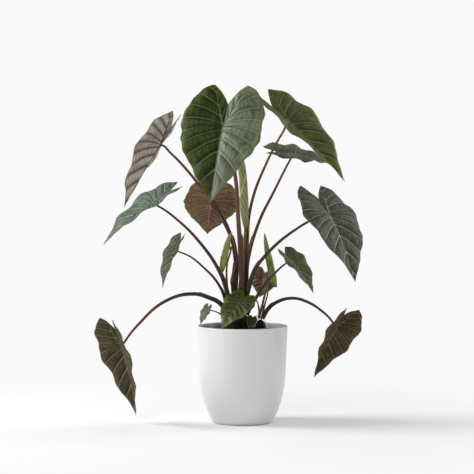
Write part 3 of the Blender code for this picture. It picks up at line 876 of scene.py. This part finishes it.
# %% Skin
def make_skin(leaf, columns, rows):
    bm = bmesh.new()
    bm.verts.layers.float_vector.new("veins")
    bm.verts.layers.float.new("rib")
    outer, inner = half_patches(columns, rows)
    for side in (1, -1):
        for patch in (outer, inner):
            grid = [[add_skin_vert(bm, leaf, side, *point) for point in line] for line in patch]
            turned = (side > 0) == (patch is outer)
            for left, right in zip(grid, grid[1:]):
                for a, b, c, d in zip(left, right, right[1:], left[1:]):
                    bm.faces.new((a, b, c, d) if turned else (d, c, b, a))
    bmesh.ops.remove_doubles(bm, verts=bm.verts, dist=0.04 * MM)
    bmesh.ops.dissolve_degenerate(bm, edges=bm.edges, dist=0.01 * MM)
    bm.normal_update()
    upward = sum((face.normal.dot(leaf["up"]) * face.calc_area() for face in bm.faces), 0.0)
    if upward < 0:
        bmesh.ops.reverse_faces(bm, faces=bm.faces)
        bm.normal_update()
    return bm


print("skin maker ready")

# %% Upper and lower face
BLADE_THICKNESS = 0.7 * MM


def make_blade_mesh(leaf, columns, rows):
    """The blade thins to half its thickness over the last three millimetres before the margin."""
    skin = make_skin(leaf, columns, rows)
    skin.verts.index_update()
    veins = skin.verts.layers.float_vector["veins"]
    rib = skin.verts.layers.float["rib"]
    thin = [BLADE_THICKNESS / 2 * (0.5 + 0.5 * min(1.0, vert[veins][2] / 3)) for vert in skin.verts]
    upper = [vert.co + vert.normal * t for vert, t in zip(skin.verts, thin)]
    lower = [vert.co - vert.normal * (t + vert[rib]) for vert, t in zip(skin.verts, thin)]
    count = len(upper)
    faces = [tuple(vert.index for vert in face.verts) for face in skin.faces]
    faces += [tuple(vert.index + count for vert in reversed(face.verts)) for face in skin.faces]
    finish = [0] * len(skin.faces) + [1] * len(skin.faces)
    for edge in skin.edges:
        if edge.is_boundary:
            loop = edge.link_loops[0]
            a, b = loop.vert.index, loop.link_loop_next.vert.index
            faces.append((b, a, a + count, b + count))
            finish.append(0)
    mesh = bpy.data.meshes.new("leaf_blade_" + leaf["name"])
    mesh.from_pydata(upper + lower, [], faces)
    store = mesh.attributes.new("veins", "FLOAT_VECTOR", "POINT")
    values = [tuple(vert[veins]) for vert in skin.verts] * 2
    store.data.foreach_set("vector", np.array(values, np.float32).ravel())
    mesh.polygons.foreach_set("material_index", finish)
    mesh.shade_smooth()
    skin.free()
    return mesh


print("blade maker ready")

# %% [markdown]
# ## Leaf colour
# The upper face is a waxy dark green and palest along the veins; it is painted lighter where the skin bulges,
# as painted light, and darker beside the veins, as painted shade. The lower face is purple with dark veins.
# Old leaves turn dull and bluish, and new ones are still yellow-green. Both faces read the blade's own
# attribute, so the pattern follows the veins however the blade is bent. A little subsurface light lets the
# thin skin glow where the sun comes from behind, and a paler band painted in from the margin adds painted
# backlight. One half of the top leaf carries a painted sheen and the other half painted shade.


# %% Leaf material
# Pale bluish colour painted on one half of the top leaf as painted sheen.
PAINTED_SHEEN_COLOUR = (0.20, 0.23, 0.175)


def leaf_face(name, deep, raised, vein, margin, roughness, line, gloss, glow, painted_half_light=0.0):
    """deep is the colour beside the veins, where it stands as painted shade, and raised the one between them,
    where it stands as painted light on the bulges; line is how wide the veins are drawn, and glow how far in
    from the margin, in millimetres, the margin colour is painted on as painted backlight. The last argument is
    how much pale painted sheen lies on the half where across is positive; the other half is painted darker
    by as much, as painted shade."""
    material, tree, shader, place = start_material(name, roughness)
    share, across, edge = named(tree, "veins")
    one_half = fade(tree, across, -0.05, 0.08)
    across = calc(tree, "ABSOLUTE", across)
    phase = calc(tree, "PINGPONG", times(tree, calc(tree, "SUBTRACT", share, FIRST_VEIN), VEINS), 0.5)
    # Painted shade and painted light: darker beside each side vein, where the skin dips, lighter half way
    # between, where it bulges.
    skin = blend(tree, fade(tree, phase, 0.02, 0.42), deep, raised)
    mottle = speckle(tree, place, 26, 5, 0.6)
    skin = blend(tree, times(tree, fade(tree, mottle, 0.46, 0.62), 0.65), skin, deep)
    patches = fade(tree, speckle(tree, place, 95, 4, 0.7), 0.50, 0.64)
    skin = blend(tree, times(tree, patches, 0.45), skin, blend(tree, 0.30, raised, vein))
    shaken = times(tree, speckle(tree, place, 45, 4, 0.6), 3.0)
    rung = calc(tree, "PINGPONG", calc(tree, "MULTIPLY_ADD", across, 7.0, shaken), 0.5)
    rung = fade(tree, rung, 0.12, 0.36)
    skin = blend(tree, times(tree, rung, 0.55), skin, deep)
    cells = add_node(tree, "ShaderNodeTexVoronoi", place, None, 260.0, feature="DISTANCE_TO_EDGE").outputs[0]
    net = times(tree, fade(tree, cells, 0.10, 0.0), 0.16)
    skin = blend(tree, net, skin, vein)
    taper = calc(tree, "MULTIPLY_ADD", across, -0.6 * line, line)
    on_vein = fade(tree, calc(tree, "DIVIDE", phase, taper), 1.0, 0.35)
    on_rib = fade(tree, across, 0.035, 0.012)
    lines = calc(tree, "MAXIMUM", times(tree, on_vein, 0.8), on_rib)
    skin = blend(tree, lines, skin, vein)
    # Painted backlight: within glow millimetres of the margin the margin colour is painted on in noisy
    # patches, as though light came through the thin rim.
    painted_backlight = times(tree, fade(tree, edge, glow, 0.0), fade(tree, speckle(tree, place, 40), 0.25, 0.7))
    skin = blend(tree, times(tree, painted_backlight, 0.75), skin, margin)
    skin = blend(tree, times(tree, fade(tree, edge, 1.6, 0.3), 0.7), skin, margin)
    shader.inputs["Specular IOR Level"].default_value = gloss
    # Painted sheen and painted shade: one half is painted pale and bluish as painted sheen, the other half
    # painted darker as painted shade, and the specular level is lower on the darker half.
    if painted_half_light:
        uneven = calc(tree, "SUBTRACT", mottle, times(tree, rung, 0.12))
        painted_sheen = map_range(tree, uneven, (0.34, 0.62), (0.4 * painted_half_light, 1.6 * painted_half_light))
        skin = blend(tree, times(tree, one_half, painted_sheen), skin, PAINTED_SHEEN_COLOUR)
        skin = blend(tree, times(tree, calc(tree, "SUBTRACT", 1.0, one_half), painted_half_light), skin, deep)
        sheen = map_range(tree, one_half, (0.0, 1.0), (gloss * (1 - 2.4 * painted_half_light), gloss))
        tree.links.new(sheen, shader.inputs["Specular IOR Level"])
    tree.links.new(skin, shader.inputs["Base Color"])
    worn = map_range(tree, mottle, (0.3, 0.7), (roughness - 0.06, roughness + 0.08))
    tree.links.new(worn, shader.inputs["Roughness"])
    relief = calc(tree, "ADD", times(tree, cells, 0.4), times(tree, lines, -0.5))
    relief = calc(tree, "ADD", relief, times(tree, rung, 0.5))
    tree.links.new(bump(tree, relief, 0.35, 0.6 * MM), shader.inputs["Normal"])
    shader.inputs["Subsurface Weight"].default_value = 0.10
    shader.inputs["Subsurface Radius"].default_value = (0.8, 1.0, 0.1)
    shader.inputs["Subsurface Scale"].default_value = 0.8 * MM
    return material


PURPLE_BACK = ((0.10, 0.05, 0.05), (0.14, 0.08, 0.07), (0.06, 0.025, 0.025), (0.12, 0.07, 0.05))
UPPER = dict(
    top=((0.006, 0.011, 0.001), (0.044, 0.060, 0.009), (0.15, 0.19, 0.07), (0.13, 0.165, 0.02)),
    top_right=((0.020, 0.026, 0.002), (0.105, 0.115, 0.010), (0.20, 0.21, 0.07), (0.14, 0.15, 0.015)),
    back_right=((0.050, 0.062, 0.034), (0.170, 0.185, 0.115), (0.36, 0.37, 0.27), (0.14, 0.14, 0.08)),
    top_left=((0.03, 0.04, 0.01), (0.07, 0.09, 0.03), (0.16, 0.18, 0.08), (0.13, 0.14, 0.05)),
    left=((0.026, 0.046, 0.028), (0.120, 0.165, 0.110), (0.36, 0.41, 0.30), (0.15, 0.18, 0.11)),
    left_small=((0.020, 0.022, 0.007), (0.105, 0.105, 0.052), (0.28, 0.28, 0.18), (0.14, 0.14, 0.08)),
    low_left=((0.010, 0.006, 0.001), (0.055, 0.037, 0.010), (0.21, 0.185, 0.11), (0.09, 0.075, 0.03)),
    low_right=((0.010, 0.007, 0.001), (0.070, 0.050, 0.010), (0.21, 0.17, 0.09), (0.13, 0.055, 0.008)),
    right=((0.026, 0.032, 0.020), (0.094, 0.103, 0.068), (0.36, 0.37, 0.29), (0.12, 0.12, 0.08)),
    right_small=((0.034, 0.044, 0.010), (0.150, 0.170, 0.055), (0.30, 0.31, 0.17), (0.12, 0.13, 0.04)),
    back=((0.04, 0.05, 0.01), (0.08, 0.09, 0.03), (0.17, 0.17, 0.08), (0.13, 0.14, 0.02)),
    purple_small=((0.055, 0.022, 0.012), (0.15, 0.080, 0.036), (0.24, 0.16, 0.08), (0.16, 0.17, 0.02)),
    juvenile=((0.006, 0.011, 0.001), (0.048, 0.066, 0.005), (0.14, 0.17, 0.03), (0.12, 0.14, 0.008)),
    tiny=((0.018, 0.024, 0.002), (0.048, 0.056, 0.006), (0.08, 0.09, 0.02), (0.06, 0.065, 0.01)),
    edge_small=((0.022, 0.034, 0.008), (0.075, 0.090, 0.030), (0.19, 0.20, 0.11), (0.14, 0.15, 0.06)),
)
LOWER = dict(
    top_left=((0.24, 0.195, 0.155), (0.64, 0.56, 0.48), (0.055, 0.020, 0.012), (0.12, 0.08, 0.05)),
    back=((0.105, 0.060, 0.026), (0.33, 0.225, 0.125), (0.40, 0.22, 0.17), (0.17, 0.19, 0.02)),
    juvenile=((0.06, 0.06, 0.02), (0.09, 0.09, 0.03), (0.12, 0.10, 0.04), (0.10, 0.10, 0.03)),
)
# How far in from the margin, in millimetres, each leaf is painted with painted backlight; other leaves take 5.
PAINTED_GLOW_MM = dict(
    top=22.0, top_right=16.0, back=16.0, purple_small=12.0, low_right=14.0, low_left=10.0, juvenile=12.0,
)
# How strongly the top leaf is painted with a pale sheen on one half and painted shade on the other.
PAINTED_HALF_LIGHT = dict(top=0.30)
DULL = dict(left=0.56, left_small=0.58, right=0.58, low_left=0.60, low_right=0.60, right_small=0.52)
print(len(UPPER), "leaf colourings")


# %% Blades
def grid_for(width):
    """How many columns and rows a blade has that is so many millimetres wide."""
    if width > 80:
        return 100, 20
    return (80, 14) if width > 40 else (50, 9)


for row in LEAVES:
    name = row["name"]
    mesh = make_blade_mesh(in_metres(row), *grid_for(row["width"]))
    glow = PAINTED_GLOW_MM.get(name, 5.0)
    dull = DULL.get(name, 0.42)
    shine = 0.34 if dull < 0.5 else 0.22
    face = leaf_face("upper_" + name, *UPPER[name], dull, 0.095, shine, glow, PAINTED_HALF_LIGHT.get(name, 0.0))
    back = leaf_face("lower_" + name, *LOWER.get(name, PURPLE_BACK), 0.5, 0.12, 0.3, glow)
    finish_piece("blade_" + name, mesh, [face, back], "leaf_" + name)
    print("blade", name, len(mesh.polygons), "faces")

# %% [markdown]
# ## The stalks
# A stalk is a long tapering rod with a groove down its inner side. Low down the groove opens into a sheath,
# whose two thin rims once held the next leaf. All of them follow a path, so one Geometry Nodes tree makes
# them all: it sweeps a circle along a curve, then moves the skin in or out by two graphs, one round the stalk
# and one along it. Each stalk has its own radii and its own share that is sheathed.


# %% Graph node
def graph(tree, value, points):
    """A graph drawn through the given points."""
    made = add_node(tree, "ShaderNodeFloatCurve", 1.0, value)
    curve = made.mapping.curves[0]
    curve.points[0].location, curve.points[1].location = points[0], points[-1]
    for point in points[1:-1]:
        curve.points.new(*point)
    made.mapping.update()
    return made.outputs[0]


def capture(tree, geometry, value, kind):
    made = tree.nodes.new("GeometryNodeCaptureAttribute")
    made.capture_items.new(kind, "value")
    tree.links.new(geometry, made.inputs[0])
    tree.links.new(value, made.inputs[1])
    return made.outputs[0], made.outputs[1]


# %% Stalk tree
LIP_GRAPH = [
    (0, 0.5), (0.22, 0.5), (0.30, 0.56), (0.37, 0.95), (0.42, 0.4), (0.5, 0.12),
    (0.58, 0.4), (0.63, 0.95), (0.70, 0.56), (0.78, 0.5), (1, 0.5),
]
SHEATH_GRAPH = [(0, 0.45), (0.25, 0.62), (0.55, 0.82), (0.70, 1.0), (0.735, 0.95), (0.75, 0.14), (1, 0.10)]


def make_stalk_tree():
    tree = bpy.data.node_groups.new("stalk", "GeometryNodeTree")
    for name, kind in (
        ("Path", "Geometry"), ("Foot Radius", "Float"), ("Neck Radius", "Float"), ("Sheathed", "Float"),
        ("Rim", "Float"), ("Turn", "Float"), ("Sides", "Int"), ("Step", "Float"), ("Finish", "Material"),
    ):
        tree.interface.new_socket(name=name, in_out="INPUT", socket_type="NodeSocket" + kind)
    tree.interface.new_socket(name="Stalk", in_out="OUTPUT", socket_type="NodeSocketGeometry")
    given = tree.nodes.new("NodeGroupInput").outputs
    even = tree.nodes.new("GeometryNodeResampleCurve")
    even.mode = "LENGTH"
    wire(tree, even.inputs["Curve"], given["Path"])
    wire(tree, even.inputs["Length"], given["Step"])
    along = tree.nodes.new("GeometryNodeSplineParameter").outputs["Factor"]
    spine, along = capture(tree, even.outputs[0], along, "FLOAT")
    radius = add_node(tree, "ShaderNodeMapRange", along, 0.0, 1.0, given["Foot Radius"], given["Neck Radius"])
    thick = tree.nodes.new("GeometryNodeSetCurveRadius")
    wire(tree, thick.inputs["Curve"], spine)
    wire(tree, thick.inputs["Radius"], radius.outputs[0])
    level = tree.nodes.new("GeometryNodeSetCurveNormal")
    level.mode = "Z_UP"
    wire(tree, level.inputs["Curve"], thick.outputs[0])
    twist = tree.nodes.new("GeometryNodeSetCurveTilt")
    wire(tree, twist.inputs["Curve"], level.outputs[0])
    wire(tree, twist.inputs["Tilt"], given["Turn"])
    ring = tree.nodes.new("GeometryNodeCurvePrimitiveCircle")
    wire(tree, ring.inputs["Resolution"], given["Sides"])
    ring.inputs["Radius"].default_value = 1.0
    round_it = tree.nodes.new("GeometryNodeSplineParameter").outputs["Factor"]
    ring, round_it = capture(tree, ring.outputs[0], round_it, "FLOAT")
    swept = tree.nodes.new("GeometryNodeCurveToMesh")
    wire(tree, swept.inputs["Curve"], twist.outputs[0])
    wire(tree, swept.inputs["Profile Curve"], ring)
    swept.inputs["Fill Caps"].default_value = True
    wire(tree, swept.inputs["Scale"], radius.outputs[0])
    lips = calc(tree, "MULTIPLY_ADD", graph(tree, round_it, LIP_GRAPH), 2.0, -1.0)
    upward = times(tree, calc(tree, "DIVIDE", along, given["Sheathed"]), 0.75)
    sheath = graph(tree, upward, SHEATH_GRAPH)
    amount = times(tree, times(tree, lips, sheath), given["Rim"])
    normal = tree.nodes.new("GeometryNodeInputNormal").outputs[0]
    offset = add_node(tree, "ShaderNodeVectorMath", normal, operation="SCALE")
    wire(tree, offset.inputs["Scale"], times(tree, amount, radius.outputs[0]))
    shaped = tree.nodes.new("GeometryNodeSetPosition")
    wire(tree, shaped.inputs["Geometry"], swept.outputs[0])
    wire(tree, shaped.inputs["Offset"], offset.outputs[0])
    mark = tree.nodes.new("GeometryNodeStoreNamedAttribute")
    mark.data_type = "FLOAT_VECTOR"
    mark.inputs["Name"].default_value = "stalk"
    wire(tree, mark.inputs["Geometry"], shaped.outputs[0])
    marks = add_node(tree, "ShaderNodeCombineXYZ", along, round_it, amount)
    wire(tree, mark.inputs["Value"], marks.outputs[0])
    smooth = add_node(tree, "GeometryNodeSetShadeSmooth", mark.outputs[0])
    real = add_node(tree, "GeometryNodeRealizeInstances", smooth.outputs[0])
    done = tree.nodes.new("GeometryNodeSetMaterial")
    wire(tree, done.inputs["Geometry"], real.outputs[0])
    wire(tree, done.inputs["Material"], given["Finish"])
    tree.links.new(done.outputs[0], tree.nodes.new("NodeGroupOutput").inputs[0])
    return tree


stalk_tree = make_stalk_tree()
print("stalk tree:", len(stalk_tree.nodes), "nodes")


# %% Stalk material
def stalk_skin(name, low, high, rim, sheath_tone, roughness):
    """low and high are the colours at the foot and the neck, rim the sheath's thin edge."""
    material, tree, shader, place = start_material(name, roughness)
    along, round_it, amount = named(tree, "stalk")
    stretched = add_node(tree, "ShaderNodeCombineXYZ", times(tree, along, 9.0), times(tree, round_it, 40.0))
    streak = speckle(tree, stretched.outputs[0], 1.0, 5, 0.6)
    skin = blend(tree, fade(tree, along, 0.1, 0.95), low, high)
    skin = blend(tree, times(tree, fade(tree, streak, 0.45, 0.75), 0.5), skin, sheath_tone)
    mottle = speckle(tree, place, 90, 4)
    skin = blend(tree, times(tree, fade(tree, mottle, 0.5, 0.8), 0.4), skin, high)
    dry = times(tree, fade(tree, along, 0.10, 0.02), 0.6)
    skin = blend(tree, dry, skin, (0.10, 0.05, 0.028))
    skin = blend(tree, times(tree, fade(tree, amount, 0.34, 0.62), 0.85), skin, rim)
    skin = blend(tree, times(tree, fade(tree, amount, -0.12, -0.4), 0.7), skin, low)
    tree.links.new(skin, shader.inputs["Base Color"])
    rough = map_range(tree, streak, (0.3, 0.7), (roughness - 0.05, roughness + 0.1))
    tree.links.new(rough, shader.inputs["Roughness"])
    tree.links.new(bump(tree, streak, 0.4, 0.4 * MM), shader.inputs["Normal"])
    shader.inputs["Specular IOR Level"].default_value = 0.3
    return material


def stalk_tones(low, high, rim, sheath_tone):
    return dict(low=low, high=high, rim=rim, sheath_tone=sheath_tone)


DARK = stalk_tones((0.024, 0.008, 0.005), (0.085, 0.026, 0.012), (0.50, 0.20, 0.07), (0.090, 0.030, 0.014))
RUDDY = stalk_tones((0.035, 0.011, 0.006), (0.170, 0.060, 0.028), (0.52, 0.21, 0.08), (0.140, 0.050, 0.024))
MAUVE = stalk_tones((0.055, 0.018, 0.011), (0.170, 0.066, 0.036), (0.50, 0.22, 0.10), (0.150, 0.058, 0.034))
GREEN = stalk_tones((0.05, 0.035, 0.012), (0.13, 0.13, 0.04), (0.20, 0.15, 0.06), (0.08, 0.075, 0.028))
TAN = stalk_tones((0.10, 0.045, 0.014), (0.10, 0.035, 0.016), (0.42, 0.19, 0.06), (0.16, 0.075, 0.025))
STALK_COLOURS = {
    "top": MAUVE, "top_right": RUDDY, "back_right": RUDDY, "top_left": DARK, "left": DARK, "left_small": DARK,
    "low_left": DARK, "low_right": DARK, "right": DARK, "right_small": DARK, "back": TAN,
    "purple_small": DARK, "juvenile": GREEN, "tiny": GREEN, "edge_small": GREEN,
}
SHEATHED = {
    "top": 0.40, "top_right": 0.46, "back_right": 0.42, "top_left": 0.38, "left": 0.34, "left_small": 0.30,
    "low_left": 0.27, "low_right": 0.20, "right": 0.38, "right_small": 0.35, "back": 0.40,
}
print(len(STALK_COLOURS), "stalk colourings")


# %% Stalk paths
STALK_SIDES = 28
STALK_STEP = 2 * MM
GROOVE_TURN = math.radians(90)


def make_path(name, points):
    curve = bpy.data.curves.new(name, "CURVE")
    curve.dimensions = "3D"
    curve.resolution_u = 16
    spline = curve.splines.new("BEZIER")
    spline.bezier_points.add(len(points) - 1)
    for knot, place in zip(spline.bezier_points, points):
        knot.co = place
        knot.handle_left_type = knot.handle_right_type = "AUTO"
    return curve


def grow_stalk(name, points, foot, neck, sheathed, rim, material):
    inputs = {
        "Foot Radius": foot, "Neck Radius": neck, "Sheathed": sheathed, "Rim": rim, "Turn": GROOVE_TURN,
        "Sides": STALK_SIDES, "Step": STALK_STEP, "Finish": material,
    }
    return run_tree(stalk_tree, make_path(name, points), name, inputs)


SHEATH_RIM = 0.72
for row in LEAVES:
    leaf = in_metres(row)
    name = row["name"]
    route = [Vector(point) * MM for point in row["route"]]
    below = leaf["hub"] - leaf["up"] * (1.6 * MM + leaf["neck"])
    under = leaf["hub"] - leaf["up"] * (0.6 * leaf["neck"]) + leaf["ahead"] * (2.2 * leaf["neck"])
    skin = stalk_skin("stalk_skin_" + name, roughness=0.38, **STALK_COLOURS[name])
    mesh = grow_stalk(
        "stalk_" + name, [*route, below, under], leaf["foot"], leaf["neck"] * 0.9,
        SHEATHED.get(name, 0.3), SHEATH_RIM, skin,
    )
    finish_piece("stem_" + name, mesh, [skin], "stalk_" + name)
print("stalks:", len(LEAVES))

# %% [markdown]
# ## Rolled leaves
# A new leaf comes up rolled into a spindle, one edge wound over the other. The section is a spiral with a
# step where the outer edge lies, and the step climbs round the spindle, so the seam and the veins beside it
# run diagonally. It is built ring by ring in mesh code, because a swept circle would have no edge.


# %% Spindle
SPINDLE_SIDES = 40
SWELL_PLACES = [0, 0.05, 0.2, 0.4, 0.7, 0.9, 0.98, 1]
SWELL_SHARES = [0.34, 0.58, 0.88, 1.0, 0.85, 0.5, 0.2, 0.04]
TURNS_OF_SEAM = 1.4


def make_spindle_mesh(row, path):
    name = row["name"]
    carrier = bpy.data.objects.new("carrier", path)
    line = [vert.co.copy() for vert in carrier.to_mesh().vertices]
    carrier.to_mesh_clear()
    bpy.data.objects.remove(carrier)
    sides = SPINDLE_SIDES
    verts, marks, faces = [], [], []
    across = Vector((1, 0, 0))
    for index, middle in enumerate(line):
        t = index / (len(line) - 1)
        ahead = (line[min(index + 1, len(line) - 1)] - line[max(index - 1, 0)]).normalized()
        across = (across - across.dot(ahead) * ahead).normalized()
        second = ahead.cross(across)
        radius = row["radius"] * MM * np.interp(t, SWELL_PLACES, SWELL_SHARES)
        for corner in range(sides):
            turn = corner / sides
            angle = 2 * math.pi * (turn + TURNS_OF_SEAM * t)
            wound = 1.04 - 0.22 * turn + 0.02 * math.sin(2 * math.pi * (8 * t + 3 * turn))
            frayed = 1 - 0.12 * max(0.0, 1 - 12 * t) * (1 + math.sin(9 * angle))
            out = radius * wound * frayed
            verts.append(middle + (across * math.cos(angle) + second * math.sin(angle)) * out)
            marks.append((t, turn, radius / MM))
    for ring in range(len(line) - 1):
        for corner in range(sides):
            a, b = ring * sides + corner, ring * sides + (corner + 1) % sides
            faces.append((a, b, b + sides, a + sides))
    faces.append(tuple(reversed(range(sides))))
    faces.append(tuple(range(len(verts) - sides, len(verts))))
    mesh = bpy.data.meshes.new("rolled_leaf_" + name)
    mesh.from_pydata(verts, [], faces)
    store = mesh.attributes.new("roll", "FLOAT_VECTOR", "POINT")
    store.data.foreach_set("vector", np.array(marks, np.float32).ravel())
    mesh.shade_smooth()
    return mesh


# %% Rolled leaf material
def rolled_skin(name, deep, pale, vein, worn_end):
    material, tree, shader, place = start_material(name, 0.42)
    along, turn, _ = named(tree, "roll")
    slant = calc(tree, "MULTIPLY_ADD", turn, 0.9, times(tree, along, 2.6))
    bands = times(tree, slant, 8.0)
    phase = calc(tree, "PINGPONG", bands, 0.5)
    skin = blend(tree, fade(tree, phase, 0.05, 0.4), deep, pale)
    skin = blend(tree, times(tree, fade(tree, phase, 0.17, 0.06), 0.9), skin, vein)
    skin = blend(tree, times(tree, fade(tree, speckle(tree, place, 70, 5), 0.45, 0.75), 0.5), skin, deep)
    edge = times(tree, fade(tree, turn, 0.06, 0.015), 0.7)
    skin = blend(tree, edge, skin, vein)
    skin = blend(tree, times(tree, fade(tree, along, 0.14, 0.02), 0.8), skin, worn_end)
    tree.links.new(skin, shader.inputs["Base Color"])
    tree.links.new(bump(tree, fade(tree, phase, 0.0, 0.3), 0.4, 0.4 * MM), shader.inputs["Normal"])
    shader.inputs["Subsurface Weight"].default_value = 0.15
    shader.inputs["Subsurface Radius"].default_value = (0.6, 1.0, 0.2)
    shader.inputs["Subsurface Scale"].default_value = 1.0 * MM
    return material


ROLL_COLOURS = {
    "tall": ((0.085, 0.095, 0.020), (0.25, 0.26, 0.065), (0.62, 0.62, 0.36), (0.24, 0.13, 0.02)),
    "left": ((0.070, 0.095, 0.008), (0.24, 0.30, 0.040), (0.40, 0.44, 0.12), (0.20, 0.16, 0.03)),
    "right": ((0.060, 0.095, 0.004), (0.20, 0.26, 0.016), (0.34, 0.40, 0.06), (0.18, 0.14, 0.02)),
}
for row in ROLLED:
    name = row["name"]
    points = [Vector(point) * MM for point in row["axis"]]
    spindle = make_spindle_mesh(row, make_path("axis_" + name, points))
    skin = rolled_skin("rolled_skin_" + name, *ROLL_COLOURS[name])
    finish_piece("rolled_" + name, spindle, [skin], "leaf_rolled_" + name)
    route = [Vector(point) * MM for point in row["route"]]
    into = route[-1].lerp(points[1], 0.18)
    stem_skin = stalk_skin("stalk_skin_rolled_" + name, roughness=0.4, **GREEN)
    mesh = grow_stalk(
        "stalk_rolled_" + name, [*route, into], row["foot"] * MM, row["neck"] * MM, 0.3, 0.3, stem_skin
    )
    finish_piece("stem_rolled_" + name, mesh, [stem_skin], "stalk_rolled_" + name)
print("rolled leaves:", len(ROLLED))

# %% [markdown]
# ## Last measurements
# The finished model must be as big as the CAD model, so both boxes are printed side by side.

# %% Measure and finish
bpy.context.view_layer.update()
new_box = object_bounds()
sizes = {
    "cad": [list(corner) for corner in CAD_BOX],
    "visual": [list(corner) for corner in new_box],
}
print("CAD box   ", [round(v * 1000, 1) for corner in CAD_BOX for v in corner])
print("visual box", [round(v * 1000, 1) for corner in new_box for v in corner])
